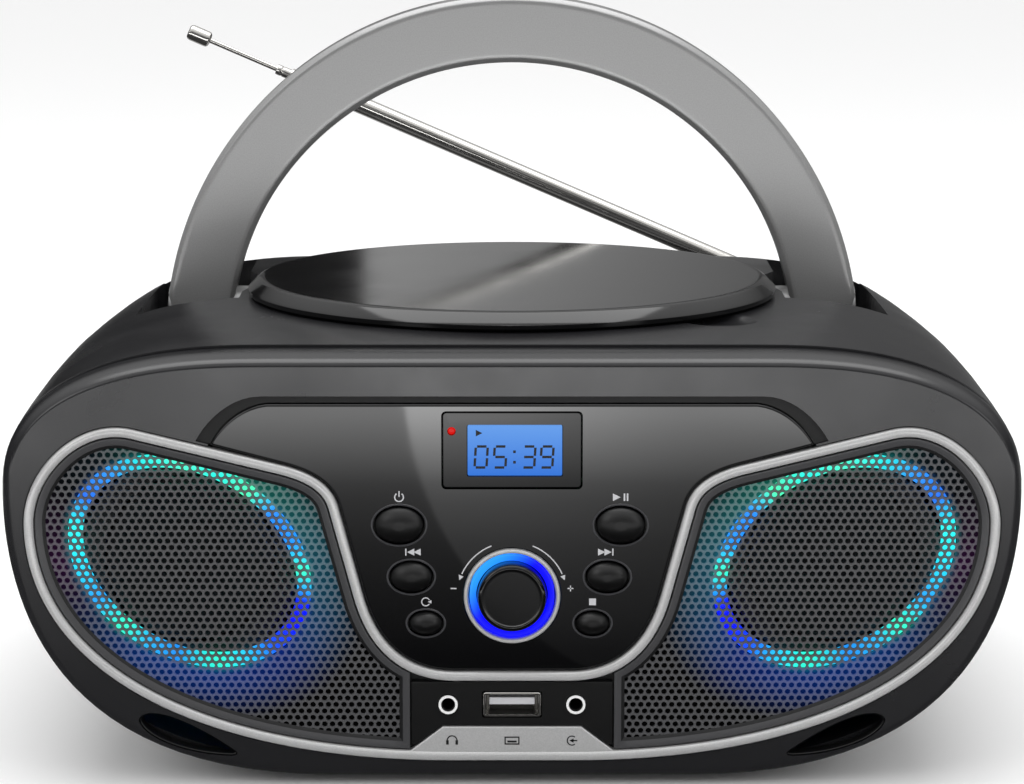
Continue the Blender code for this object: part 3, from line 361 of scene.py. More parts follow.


# Painted reflection cards: what glossy rays alone see of the stage floor, as (distance in front of the origin
# in metres, brightness).
PAINTED_FRONT_REFLECTION = ((0.0, 0.05), (0.24, 0.06), (0.33, 0.2), (0.39, 0.34), (0.453, 0.6), (0.488, 0.85), (0.524, 1.5),
              (0.563, 2.2), (0.631, 3.5), (0.76, 3.6), (1.1, 1.8), (1.7, 0.7), (2.2, 0.4))
PAINTED_REFLECTION_REACH = 2.4
PAINTED_REFLECTION_BRIGHTEST = 4.0


def studio_paper(name):
    """Seamless white paper for camera and diffuse rays. Glossy rays alone see painted reflections on it: a
    dark room with soft bright cards in front, a curved edge past which the front is brighter, and a band
    behind with a sharp left edge that fades to the right.
    """
    made, tree, shader, where = new_material(name, Base_Color=linear("#fcfcfc"), Roughness=0.9)
    apart = add_node(tree, "ShaderNodeSeparateXYZ", None, {"Vector": where})
    ahead = add_node(tree, "ShaderNodeMath", {"operation": "MULTIPLY", 1: -1.0}, {0: apart.outputs["Y"]})
    share = add_node(tree, "ShaderNodeMath", {"operation": "DIVIDE", 1: PAINTED_REFLECTION_REACH},
                     {0: ahead.outputs["Value"]})
    painted_card = add_node(tree, "ShaderNodeValToRGB", None, {"Fac": share.outputs["Value"]})
    elements = painted_card.color_ramp.elements
    while len(elements) < len(PAINTED_FRONT_REFLECTION):
        elements.new(0.5)
    for element, (distance, level) in zip(elements, PAINTED_FRONT_REFLECTION):
        element.position = distance / PAINTED_REFLECTION_REACH
        element.color = (level / PAINTED_REFLECTION_BRIGHTEST,) * 3 + (1.0,)
    # A curved edge across the floor in front, brighter past it: a painted reflection that lies across the
    # fascia as a diagonal, lighter to its right.
    across = add_node(tree, "ShaderNodeMath", {"operation": "ADD", 1: 0.076}, {0: apart.outputs["X"]})
    nearness = add_node(tree, "ShaderNodeMath", {"operation": "MAXIMUM", 1: 0.05},
                        {0: ahead.outputs["Value"]})
    painted_reflection_curve = add_node(tree, "ShaderNodeMath", {"operation": "DIVIDE", 0: 0.0217},
                     {1: nearness.outputs["Value"]})
    beyond = add_node(tree, "ShaderNodeMath", {"operation": "SUBTRACT"},
                      {0: across.outputs["Value"], 1: painted_reflection_curve.outputs["Value"]})
    edge = add_node(tree, "ShaderNodeMapRange", {"From Min": -0.0008, "From Max": 0.0008},
                    {"Value": beyond.outputs["Value"]})
    fade = add_node(tree, "ShaderNodeMapRange", {"interpolation_type": "SMOOTHSTEP", "From Min": 0.0,
                                                 "From Max": 0.12, "To Min": 1.1, "To Max": 0.12},
                    {"Value": beyond.outputs["Value"]})
    extra = add_node(tree, "ShaderNodeMath", {"operation": "MULTIPLY_ADD", 2: 1.0},
                     {0: edge.outputs["Result"], 1: fade.outputs["Result"]})
    front = add_node(tree, "ShaderNodeMath", {"operation": "MULTIPLY"},
                     {0: painted_card.outputs["Color"], 1: extra.outputs["Value"]})
    front = add_node(tree, "ShaderNodeMath", {"operation": "MULTIPLY", 1: PAINTED_REFLECTION_BRIGHTEST},
                     {0: front.outputs["Value"]})
    # Behind the object, a painted reflection band with a sharp left edge, fading to the right.
    wall_edge = add_node(tree, "ShaderNodeMapRange", {"From Min": -0.335, "From Max": -0.322, "To Min": 0.03,
                                                      "To Max": 1.0}, {"Value": apart.outputs["X"]})
    wall_fade = add_node(tree, "ShaderNodeMapRange", {"From Min": -0.31, "From Max": 0.8, "To Min": 0.5,
                                                      "To Max": 0.12}, {"Value": apart.outputs["X"]})
    painted_back_reflection = add_node(tree, "ShaderNodeMath", {"operation": "MULTIPLY"},
                    {0: wall_edge.outputs["Result"], 1: wall_fade.outputs["Result"]})
    behind = add_node(tree, "ShaderNodeMath", {"operation": "GREATER_THAN", 1: 0.2}, {0: apart.outputs["Y"]})
    level = add_node(tree, "ShaderNodeMix", {"data_type": "FLOAT"},
                     {0: behind.outputs["Value"], 2: front.outputs["Value"], 3: painted_back_reflection.outputs["Value"]})
    painted_cards = add_node(tree, "ShaderNodeEmission", None, {"Strength": level.outputs[0]})
    # Only glossy rays see the painted reflections; every other ray sees the white paper.
    seen = add_node(tree, "ShaderNodeLightPath")
    mixed = add_node(tree, "ShaderNodeMixShader", None, {0: seen.outputs["Is Glossy Ray"],
                                                         1: shader.outputs["BSDF"],
                                                         2: painted_cards.outputs["Emission"]})
    tree.links.new(mixed.outputs["Shader"], tree.nodes["Material Output"].inputs["Surface"])
    return made


FINISHES = {
    "polished_abs": lambda name, props: gloss_abs(name, "#1e1e20", 0.2, 0.28),
    "lid_abs": lambda name, props: gloss_abs(name, "#0a0a0b", 0.09, 0.13, 0.002),
    "fascia_abs": lambda name, props: gloss_abs(name, "#030304", 0.02, 0.045, 0.0015),
    "key_abs": lambda name, props: gloss_abs(name, "#030304", 0.36, 0.44),
    "knob_abs": lambda name, props: gloss_abs(name, "#020203", 0.1, 0.14, 0.002),
    "etched_abs": lambda name, props: satin_abs(name, "#0e0e0f", 0.42),
    "socket_abs_and_shade": lambda name, props: satin_abs(name, "#040405", 0.55),
    "graphite_abs": lambda name, props: satin_abs(name, "#3c3c3e", 0.36),
    "rim_abs": lambda name, props: satin_abs(name, "#343437", 0.3),
    "marking_ink": lambda name, props: satin_abs(name, "#b9b9bc", 0.5),
    "dark_ink_and_shade": lambda name, props: satin_abs(name, "#101012", 0.5),
    "trim_lacquer": lambda name, props: lacquer(name, "#bcbcbc", 0.28, 0.35),
    "bright_lacquer": lambda name, props: lacquer(name, "#e6e6e6", 0.35, 0.0),
    "handle_lacquer": lambda name, props: lacquer(name, "#9a9a9a", 0.32, 0.5),
    "nickel_plate": lambda name, props: bright_metal(name, "#d8d6d2", 0.12),
    "turned_steel": lambda name, props: bright_metal(name, "#b8b8b8", 0.3),
    "japanned_steel": lambda name, props: satin_abs(name, "#0c0c0d", 0.5),
    "lcd": lcd_glow,
    "window_acrylic": lambda name, props: gloss_abs(name, "#020203", 0.03, 0.05, 0.001, 1.33),
    "red_indicator": lambda name, props: plain_light(name, "#e01008", 0.9),
    "blue_diffuser": lambda name, props: knob_glow(name),
    "left_lamp": lambda name, props: oval_lamp("left", props),
    "right_lamp": lambda name, props: oval_lamp("right", props),
    "left_grille_paint": lambda name, props: grille_paint("left", props),
    "right_grille_paint": lambda name, props: grille_paint("right", props),
    "left_felt": lambda name, props: lamp_backing("left", props),
    "right_felt": lambda name, props: lamp_backing("right", props),
    "board": lambda name, props: glass_fibre_board(name),
    "cone_paper": lambda name, props: cone_paper(name),
    "rubber": lambda name, props: moulded_rubber(name),
    "studio_paper": lambda name, props: studio_paper(name),
}
MADE = {}


def finish(name):
    """The finish of this name, made the first time it is asked for."""
    if name not in MADE:
        MADE[name] = FINISHES[name](name, bpy.context.scene.boombox)
    return MADE[name]


# Outlines: lists of (x, z) or (x, d) in millimetres, anticlockwise.

BASE_HALF_WIDTH = 45.0
WIDEST_HEIGHT = 71.3
BOWL_PULL = 26.0
BOWL_REACH = 10.0
SHOULDER = 65.0
SHOULDER_POWER = 2.5
TRIM_BAND = 2.4
TRIM_LOW = 27.7
BEVEL_BAND = 2.3
PLATE_FRONT = 2.5
SPEAKER_X, _, SPEAKER_Z = middle_of("right_light_ring")
OVAL_LONG = 31.7
OVAL_SHORT = 24.5
OVAL_BAND = 3.5
OVAL_TILT = math.radians(33)
PORT_HALF_WIDTH = span_of("port_panel")[1][0]
PORT_Z = middle_of("usb_socket")[2]
PANEL_TOP = span_of("control_panel")[1][2]
BOARD_HALF = [(0, 34), (19, 34), (26, 38.5), (34, 60), (36, 72), (36, 91), (0, 91)]
KEYS = {
    "power_button": "power_key", "previous_button": "previous_key", "function_button": "function_key",
    "play_button": "play_key", "next_button": "next_key", "stop_button": "stop_key",
}
KEY_FLANGE = 0.9


def cubic(start, pull, reach, end, steps):
    """Points along a cubic curve, without its first one."""
    points = []
    for step in range(1, steps + 1):
        t = step / steps
        weights = ((1 - t) ** 3, 3 * (1 - t) ** 2 * t, 3 * (1 - t) * t * t, t ** 3)
        corners = (start, pull, reach, end)
        points.append(tuple(sum(w * c[i] for w, c in zip(weights, corners)) for i in (0, 1)))
    return points


def mirrored(right):
    """A closed outline from its right half, which runs from one point on the middle line to another."""
    return right + [(-x, z) for x, z in reversed(right) if x > 1e-6]


def flipped(outline):
    """The outline's mirror image, still anticlockwise."""
    return [(-x, z) for x, z in reversed(outline)]


def inset(outline, distance):
    """The outline moved inwards by a distance."""
    moved = []
    for i, point in enumerate(outline):
        here = Vector(point)
        before = (here - Vector(outline[i - 1])).normalized()
        after = (Vector(outline[(i + 1) % len(outline)]) - here).normalized()
        side = Vector((-before.y, before.x))
        middle = (side + Vector((-after.y, after.x))).normalized()
        moved.append(tuple(here + middle * distance / middle.dot(side)))
    return moved


def oval(x, z, half_width, half_height, tilt=0.0, count=72):
    """An ellipse, turned anticlockwise by its tilt."""
    points = []
    for step in range(count):
        angle = 2 * math.pi * step / count
        across = half_width * math.cos(angle)
        up = half_height * math.sin(angle)
        points.append((x + across * math.cos(tilt) - up * math.sin(tilt),
                       z + across * math.sin(tilt) + up * math.cos(tilt)))
    return points


def rectangle(x0, z0, x1, z1, corner=0.0, steps=6):
    """A rectangle, with round corners if asked."""
    if corner <= 0:
        return [(x0, z0), (x1, z0), (x1, z1), (x0, z1)]
    points = []
    centres = ((x1 - corner, z0 + corner), (x1 - corner, z1 - corner),
               (x0 + corner, z1 - corner), (x0 + corner, z0 + corner))
    for quarter, (x, z) in enumerate(centres):
        for step in range(steps + 1):
            angle = math.radians(90 * (quarter - 1 + step / steps))
            points.append((x + corner * math.cos(angle), z + corner * math.sin(angle)))
    return points


def cabinet_outline(half_width, top):
    """Flat base, bowl, widest line, rounded shoulder and flat top."""
    right = [(0.0, 0.0), (BASE_HALF_WIDTH, 0.0)]
    right += cubic((BASE_HALF_WIDTH, 0.0), (half_width - BOWL_REACH, 0.0),
                   (half_width, WIDEST_HEIGHT - BOWL_PULL), (half_width, WIDEST_HEIGHT), 28)
    steps = 26
    for step in range(1, steps + 1):
        angle = math.radians(90 * step / steps)
        power = 2 / SHOULDER_POWER
        across = max(math.cos(angle), 0.0) ** power
        right.append((half_width - SHOULDER + SHOULDER * across,
                      WIDEST_HEIGHT + (top - WIDEST_HEIGHT) * math.sin(angle) ** power))
    right.append((0.0, top))
    return mirrored(right)


def trim_half():
    """The trim's outer edge, right half: base, side, slope, corner, and the dip below the controls."""
    low = span_of("trim_frame")[0][2]
    side = span_of("trim_frame")[1][0]
    right = [(0.0, low), (15.0, low)]
    right += cubic((15.0, low), (side - 39.1, low), (side, 29.5), (side, 64.5), 40)
    right += cubic((side, 64.5), (side, 78.0), (side - 13.5, 91.4), (side - 27.1, 88.05), 26)
    right.append((56.5, 79.4))
    right += cubic((56.5, 79.4), (49.0, 77.6), (43.9, 74.6), (42.4, 69.0), 14)
    right.append((36.4, 46.7))
    right += cubic((36.4, 46.7), (33.2, 34.9), (26.0, TRIM_LOW), (14.0, TRIM_LOW), 16)
    right.append((0.0, TRIM_LOW))
    return right


def right_of(outline, edge):
    """The part of an outline to the right of an upright line."""
    kept = []
    for i, (x, z) in enumerate(outline):
        x0, z0 = outline[i - 1]
        if (x0 - edge) * (x - edge) < 0:
            kept.append((edge, z0 + (z - z0) * (edge - x0) / (x - x0)))
        if x > edge + 0.6:
            kept.append((x, z))
    return kept


def speaker_outline(distance, side="right"):
    """One speaker's field inside the trim, moved inwards by a distance."""
    field = right_of(inset(mirrored(trim_half()), TRIM_BAND + GAP), PORT_HALF_WIDTH + GAP)
    field = inset(field, distance) if distance else field
    return field if side == "right" else flipped(field)


def panel_outline():
    """The control panel: its underside follows the trim, and its top corners are cut off."""
    half = trim_half()
    trim = inset(mirrored(half), -GAP)[:len(half)]
    dip = [p for p in reversed(trim) if p[0] < 57.0 and p[1] > TRIM_LOW - 1]
    slope_end = (73.6, 84.2)
    corner = cubic(slope_end, (71.4, 88.4), (66.4, 93.6), (59.6, PANEL_TOP), 10)
    return mirrored(dip + [slope_end] + corner + [(0.0, PANEL_TOP)])


def groove_outline():
    """The groove that runs over the panel's top and round its corners, dark with a sheet of painted shade."""
    half = panel_outline()[:len(panel_outline()) // 2 + 1]
    low = [p for p in half if p[0] < 57.0 and p[1] < 80.0]
    corner = cubic((76.9, 85.2), (74.6, 89.6), (68.8, 96.2), (61.0, 96.2), 10)
    return mirrored(low + [(76.9, 85.2)] + corner + [(0.0, 96.2)])


def label_outline():
    """The plate below the sockets, which is one piece with the trim."""
    low = span_of("trim_frame")[0][2] + 1.0
    return [(-27.0, low), (27.0, low), (17.0, 13.8), (-17.0, 13.8)]


def leaf_outline(side):
    """A leaf-shaped recess low beside each speaker: round outside, and drawn to a point inside."""
    leaf = [(-91.9, 15.2)]
    leaf += cubic((-91.9, 15.2), (-90.6, 10.4), (-80.0, 6.5), (-69.2, 6.2), 16)
    leaf += cubic((-69.2, 6.2), (-67.6, 6.3), (-67.2, 6.9), (-68.2, 7.7), 6)
    leaf += cubic((-68.2, 7.7), (-84.0, 18.8), (-91.6, 18.4), (-91.9, 15.2), 18)[:-1]
    return leaf if side == "left" else flipped(leaf)


# Solids in millimetres.


def at_depth(outline, d):
    return [(x, d, z) for x, z in outline]


def at_height(outline, z):
    return [(x, d, z) for x, d in outline]


def skin(loops, ring=False):
    """A closed solid through loops with as many points each, with flat ends or joined into a ring."""
    bm = bmesh.new()
    rows = [[bm.verts.new(point) for point in loop] for loop in loops]
    pairs = list(zip(rows, rows[1:]))
    if ring:
        pairs.append((rows[-1], rows[0]))
    else:
        bm.faces.new(rows[0])
        bm.faces.new(rows[-1][::-1])
    for low, high in pairs:
        for i in range(len(low)):
            j = (i + 1) % len(low)
            bm.faces.new((low[i], high[i], high[j], low[j]))
    return bm


def prism(outline, d0, d1, roundness=0.0, steps=4):
    """An outline carried from d0 to d1, with its front edge rounded if asked."""
    loops = []
    for step in range(steps if roundness else 0):
        angle = math.radians(90 * step / steps)
        loops.append(at_depth(inset(outline, roundness * (1 - math.sin(angle))),
                              d0 + roundness * (1 - math.cos(angle))))
    return skin(loops + [at_depth(outline, d0 + roundness), at_depth(outline, d1)])


def slab(outline, z0, z1):
    return skin([at_height(outline, z0), at_height(outline, z1)])


def swept(outline, profile):
    """A ring round an outline: its profile is (distance inwards, d), and closes on itself."""
    return skin([at_depth(inset(outline, away) if away else outline, d) for away, d in profile], True)


def block(low, high):
    return prism(rectangle(low[0], low[2], high[0], high[2]), low[1], high[1])


def turned(profile, centre, axis, count=64):
    """A profile of (radius, distance along the axis) turned round it; radius 0 closes an end."""
    along = Vector(axis).normalized()
    across = along.orthogonal().normalized()
    over = along.cross(across)
    bm = bmesh.new()
    rows = []
    for radius, distance in profile:
        middle = Vector(centre) + along * distance
        if radius == 0:
            rows.append([bm.verts.new(middle)] * count)
            continue
        row = []
        for step in range(count):
            angle = 2 * math.pi * step / count
            row.append(bm.verts.new(middle + (across * math.cos(angle) + over * math.sin(angle)) * radius))
        rows.append(row)
    pairs = list(zip(rows, rows[1:]))
    if profile[0][0] > 0:
        pairs.append((rows[-1], rows[0]))
    for low, high in pairs:
        for i in range(count):
            j = (i + 1) % count
            corners = []
            for vert in (low[i], low[j], high[j], high[i]):
                if vert not in corners:
                    corners.append(vert)
            if len(corners) > 2:
                bm.faces.new(corners)
    return bm


def rod(radius, centre, axis, length, count=48):
    return turned([(0, 0), (radius, 0), (radius, length), (0, length)], centre, axis, count)


def fillet(points, radius, steps=4):
    """An open profile with each inner corner rounded by up to a radius."""
    rounded = [points[0]]
    for before, here, after in zip(points, points[1:], points[2:]):
        corner = Vector(here)
        back = Vector(before) - corner
        ahead = Vector(after) - corner
        reach = min(radius, back.length * 0.45, ahead.length * 0.45)
        start = corner + back.normalized() * reach
        end = corner + ahead.normalized() * reach
        for step in range(steps + 1):
            t = step / steps
            rounded.append(tuple(start * (1 - t) ** 2 + corner * 2 * t * (1 - t) + end * t * t))
    return rounded + [points[-1]]


# Pieces.


def raw(name, bm):
    """An object from a solid in millimetres, in the frame's own place."""
    bmesh.ops.recalc_face_normals(bm, faces=bm.faces)
    for vert in bm.verts:
        vert.co = place(vert.co)
    mesh = bpy.data.meshes.new(name)
    bm.to_mesh(mesh)
    bm.free()
    obj = bpy.data.objects.new(name, mesh)
    bpy.context.scene.collection.objects.link(obj)
    return obj


def apply_modifiers(obj):
    """Turns an object's modifiers into plain mesh."""
    evaluated = obj.evaluated_get(bpy.context.evaluated_depsgraph_get())
    mesh = bpy.data.meshes.new_from_object(evaluated)
    obj.modifiers.clear()
    obj.data = mesh


def carve(obj, solids):
    """Cuts solids out of an object straight away."""
    helpers = [raw("cut", solid) for solid in solids]
    for helper in helpers:
        modifier = obj.modifiers.new("Cut", "BOOLEAN")
        modifier.operation = "DIFFERENCE"
        modifier.solver = "EXACT"
        modifier.object = helper
    apply_modifiers(obj)
    for helper in helpers:
        bpy.data.objects.remove(helper)


def soften(obj, sharp):
    """Smooth shading that stays crisp past an angle, weighted so that flats stay flat."""
    obj.data.shade_smooth()
    obj.data.set_sharp_from_angle(angle=math.radians(sharp))
    modifier = obj.modifiers.new("Even shading", "WEIGHTED_NORMAL")
    modifier.keep_sharp = True
    apply_modifiers(obj)


def dress(obj, paint, body, stands_for):
    """Gives a piece its finish, the body it rides on and the nodes it stands for."""
    obj.data.materials.clear()
    obj.data.materials.append(finish(paint))
    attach(obj, body)
    if stands_for:
        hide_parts(*stands_for)
    return obj


def piece(name, bm, paint, body="cabinet", stands_for=(), joins=(), cuts=(), bevel=0.0, sharp=32.0):
    """A finished piece: a solid, joined and cut, with its edges broken and its shading smoothed."""
    obj = raw(name, bm)
    helpers = []
    for kind, others in (("UNION", joins), ("DIFFERENCE", cuts)):
        for other in others:
            helper = raw(f"{name}_tool_{len(helpers)}", other)
            modifier = obj.modifiers.new(kind, "BOOLEAN")
            modifier.operation = kind
            modifier.solver = "EXACT"
            modifier.object = helper
            helpers.append(helper)
    if bevel:
        modifier = obj.modifiers.new("Broken edges", "BEVEL")
        modifier.width = bevel * MM
        modifier.segments = 3
        modifier.limit_method = "ANGLE"
        modifier.angle_limit = math.radians(38)
    if helpers or bevel:
        apply_modifiers(obj)
    for helper in helpers:
        bpy.data.objects.remove(helper)
    soften(obj, sharp)
    return dress(obj, paint, body, stands_for)


# Geometry Nodes.


def geometry_tree(name, inputs):
    """A geometry tree with these named inputs: (tree, group input, group output)."""
    tree = bpy.data.node_groups.new(name, "GeometryNodeTree")
    tree.interface.new_socket("Geometry", in_out="INPUT", socket_type="NodeSocketGeometry")
    for title, kind in inputs:
        tree.interface.new_socket(title, in_out="INPUT", socket_type=f"NodeSocket{kind}")
    tree.interface.new_socket("Geometry", in_out="OUTPUT", socket_type="NodeSocketGeometry")
    return tree, tree.nodes.new("NodeGroupInput"), tree.nodes.new("NodeGroupOutput")


def ending(tree, source, given, result):
    """Ends a tree: real geometry in place of instances, then its material."""
    real = add_node(tree, "GeometryNodeRealizeInstances", None, {"Geometry": source})
    painted = add_node(tree, "GeometryNodeSetMaterial", None,
                       {"Geometry": real.outputs["Geometry"], "Material": given.outputs["Material"]})
    tree.links.new(painted.outputs["Geometry"], result.inputs["Geometry"])


def copies_tree():
    """Sets one part on every point of a mesh: feet, screws, ribs, pins and contacts."""
    tree, given, result = geometry_tree("Copies on points", (("Part", "Object"), ("Material", "Material")))
    part = add_node(tree, "GeometryNodeObjectInfo", {"transform_space": "RELATIVE"},
                    {"Object": given.outputs["Part"]})
    copies = add_node(tree, "GeometryNodeInstanceOnPoints", None, {
        "Points": given.outputs["Geometry"], "Instance": part.outputs["Geometry"]})
    ending(tree, copies.outputs["Instances"], given, result)
    return tree


def perforation_tree():
    """Fills a flat outline with drilled cells on a staggered lattice, leaving the cells outside it away."""
    tree, given, result = geometry_tree("Perforated sheet", (
        ("Cell", "Object"), ("Pitch", "Float"), ("Columns", "Int"), ("Rows", "Int"), ("Corner", "Vector"),
        ("Material", "Material")))
    columns = given.outputs["Columns"]
    total = add_node(tree, "ShaderNodeMath", {"operation": "MULTIPLY"},
                     {0: columns, 1: given.outputs["Rows"]})
    spots = add_node(tree, "GeometryNodeMeshLine", None, {"Count": total.outputs["Value"]})
    order = add_node(tree, "GeometryNodeInputIndex")
    row = add_node(tree, "ShaderNodeMath", {"operation": "DIVIDE"}, {0: order.outputs["Index"], 1: columns})
    row = add_node(tree, "ShaderNodeMath", {"operation": "FLOOR"}, {0: row.outputs["Value"]})
    column = add_node(tree, "ShaderNodeMath", {"operation": "MODULO"},
                      {0: order.outputs["Index"], 1: columns})
    odd = add_node(tree, "ShaderNodeMath", {"operation": "MODULO", 1: 2.0}, {0: row.outputs["Value"]})
    across = add_node(tree, "ShaderNodeMath", {"operation": "MULTIPLY_ADD", 1: 0.5},
                      {0: odd.outputs["Value"], 2: column.outputs["Value"]})
    up = add_node(tree, "ShaderNodeMath", {"operation": "MULTIPLY", 1: math.sqrt(3) / 2},
                  {0: row.outputs["Value"]})
    lattice = add_node(tree, "ShaderNodeCombineXYZ", None, {"X": across.outputs["Value"],
                                                            "Z": up.outputs["Value"]})
    sized = add_node(tree, "ShaderNodeVectorMath", {"operation": "SCALE"},
                     {0: lattice.outputs["Vector"], "Scale": given.outputs["Pitch"]})
    spot = add_node(tree, "ShaderNodeVectorMath", {"operation": "ADD"},
                    {0: sized.outputs["Vector"], 1: given.outputs["Corner"]})
    placed = add_node(tree, "GeometryNodeSetPosition", None,
                      {"Geometry": spots.outputs["Mesh"], "Position": spot.outputs["Vector"]})
    inside = add_node(tree, "GeometryNodeRaycast", {"Ray Direction": (0.0, 1.0, 0.0), "Ray Length": 1.0},
                      {"Target Geometry": given.outputs["Geometry"]})
    outside = add_node(tree, "FunctionNodeBooleanMath", {"operation": "NOT"}, {0: inside.outputs["Is Hit"]})
    kept = add_node(tree, "GeometryNodeDeleteGeometry", None,
                    {"Geometry": placed.outputs["Geometry"], "Selection": outside.outputs["Boolean"]})
    cell = add_node(tree, "GeometryNodeObjectInfo", {"transform_space": "RELATIVE"},
                    {"Object": given.outputs["Cell"]})
    cells = add_node(tree, "GeometryNodeInstanceOnPoints", None,
                     {"Points": kept.outputs["Geometry"], "Instance": cell.outputs["Geometry"]})
    ending(tree, cells.outputs["Instances"], given, result)
    return tree


def grown(name, base, tree, values, paint, body="cabinet", stands_for=(), sharp=32.0, helpers=()):
    """A piece grown by a geometry tree on a base object, turned into plain mesh."""
    modifier = base.modifiers.new("Growth", "NODES")
    modifier.node_group = tree
    values["Material"] = finish(paint)
    for item in tree.interface.items_tree:
        if item.item_type == "SOCKET" and item.in_out == "INPUT" and item.name in values:
            modifier[item.identifier] = values[item.name]
    apply_modifiers(base)
    for helper in helpers:
        bpy.data.objects.remove(helper)
    bm = bmesh.new()
    bm.from_mesh(base.data)
    bmesh.ops.remove_doubles(bm, verts=bm.verts, dist=0.004 * MM)
    bm.to_mesh(base.data)
    bm.free()
    base.name = name
    soften(base, sharp)
    return dress(base, paint, body, stands_for)


def points_base(name, points):
    """A mesh of loose points in millimetres."""
    mesh = bpy.data.meshes.new(name)
    mesh.from_pydata([place(point) for point in points], [], [])
    obj = bpy.data.objects.new(name, mesh)
    bpy.context.scene.collection.objects.link(obj)
    return obj


def part_at_origin(name, bm):
    """A part for copying, in millimetres about its own centre."""
    bmesh.ops.recalc_face_normals(bm, faces=bm.faces)
    bmesh.ops.scale(bm, verts=bm.verts, vec=(MM, MM, MM))
    mesh = bpy.data.meshes.new(name)
    bm.to_mesh(mesh)
    bm.free()
    obj = bpy.data.objects.new(name, mesh)
    bpy.context.scene.collection.objects.link(obj)
    return obj


def copies(name, part, points, paint, body="cabinet", stands_for=(), sharp=32.0):
    """One part repeated at each point."""
    return grown(name, points_base(name, points), copies_tree(), {"Part": part}, paint, body, stands_for,
                 sharp, (part,))


# Front.


def both_sides():
    return (("left", -1.0), ("right", 1.0))


def front_shell():
    """The front shell: a rolled edge, a recess for the trim and panel, and its groove, with a near-black
    sheet in it as painted shade.
    """
    full = cabinet_outline(HALF_WIDTH, TOP)
    loops = []
    steps = 8
    for step in range(steps + 1):
        angle = math.radians(90 * step / steps)
        loops.append(at_depth(inset(full, 3.0 * (1 - math.sin(angle))), 8.0 * (1 - math.cos(angle))))
    loops.append(at_depth(full, FRONT_DEPTH))
    back = 2 * PLATE_FRONT
    trim = inset(mirrored(trim_half()), -GAP)
    cuts = [prism(inset(full, WALL + 1.2), back, FRONT_DEPTH + 1), prism(trim, -1, PLATE_FRONT)]
    cuts.append(prism(inset(panel_outline(), -GAP), -1, PLATE_FRONT))
    cuts.append(prism(groove_outline(), -1, 1.3))
    cuts.append(prism(inset(mirrored(BOARD_HALF), -1.5), 0, back + 1))
    cuts.append(prism(rectangle(-PORT_HALF_WIDTH + 2, PORT_Z - 4.5, PORT_HALF_WIDTH - 2, PORT_Z + 4.5), 0,
                      back + 1))
    for side, sign in both_sides():
        cuts.append(prism(oval(sign * SPEAKER_X, SPEAKER_Z, OVAL_LONG + GAP, OVAL_SHORT + GAP,
                               sign * OVAL_TILT),
                          0, back + 1))
        cuts.append(prism(leaf_outline(side), -1, back + 1))
    piece("front_shell", skin(loops), "polished_abs", stands_for=("front_cabinet",), cuts=cuts)
    # A near-black sheet on the groove's floor: painted shade, darker than the groove's lit floor would be.
    shade_sheet = prism(inset(groove_outline(), 0.04), 0.75, 1.28)
    piece("groove_lining", shade_sheet, "socket_abs_and_shade", cuts=[prism(inset(panel_outline(), -0.15), -5, 5)])


def trim():
    """The bright loop: a rounded crest with its plate below the sockets."""
    outline = mirrored(trim_half())
    back = PLATE_FRONT - GAP
    crest = [(0.0, back), (0.0, -0.2), (0.08, -0.6), (0.3, -0.92), (0.65, -1.13), (1.05, -1.2), (1.5, -1.16),
             (1.9, -0.98), (2.2, -0.65), (2.36, -0.25), (TRIM_BAND, 0.2), (TRIM_BAND, back)]
    piece("trim_loop", swept(outline, crest), "trim_lacquer", stands_for=("trim_frame",),
          joins=[prism(label_outline(), -0.6, back - 0.1, 0.4)], sharp=40)


def grille_bezel(side):
    """The graphite slope between the trim and the grille, with a lip over the grille's edge."""
    outline = speaker_outline(0.0, side)
    slope = [(0.0, PLATE_FRONT - GAP), (0.0, -0.2), (0.12, -0.34), (0.4, -0.38), (1.1, -0.14), (1.9, 0.22),
             (BEVEL_BAND - 0.06, 0.42), (BEVEL_BAND, 0.5), (BEVEL_BAND - 0.06, 0.57), (0.6, 0.57),
             (0.35, 0.7), (0.35, PLATE_FRONT - GAP)]
    piece(f"{side}_grille_bezel", swept(outline, slope), "graphite_abs", stands_for=(f"{side}_grille_frame",),
          cuts=[prism(inset(label_outline(), -GAP), -5, 5)], sharp=40)
    # A thin near-black ring under the bezel's lip: painted shade standing in for the dark gap between grille
    # and bezel.
    gap_shade_ring = [(1.72, 0.5), (1.72, 0.2), (1.8, 0.13), (2.5, 0.44), (2.56, 0.5), (2.5, 0.57)]
    piece(f"{side}_grille_seam", swept(outline, gap_shade_ring), "dark_ink_and_shade")


def drilled_cell(settings):
    """One hexagonal cell of the sheet with a round hole through it."""
    pitch = settings.grille_pitch / MM
    hole = settings.grille_hole / MM / 2
    front, back = span_of("left_grille")[0][1], span_of("left_grille")[1][1]
    half = (back - front) / 2
    reach = pitch / math.sqrt(3)
    count = 12
    outer, mouth, bore = [], [], []
    for step in range(count):
        angle = math.radians(30 + 30 * step)
        edge = reach if step % 2 == 0 else reach * math.cos(math.radians(30))
        outer.append((edge * math.cos(angle), edge * math.sin(angle)))
        mouth.append(((hole + 0.08) * math.cos(angle), (hole + 0.08) * math.sin(angle)))
        bore.append((hole * math.cos(angle), hole * math.sin(angle)))
    bm = bmesh.new()
    loops = [at_depth(outer, half), at_depth(outer, -half), at_depth(mouth, -half),
             at_depth(bore, -half + 0.1),
             at_depth(bore, half)]
    rows = [[bm.verts.new(point) for point in loop] for loop in loops]
    for low, high in list(zip(rows[1:], rows[2:])) + [(rows[4], rows[0])]:
        for i in range(count):
            j = (i + 1) % count
            bm.faces.new((low[i], high[i], high[j], low[j]))
    return bm


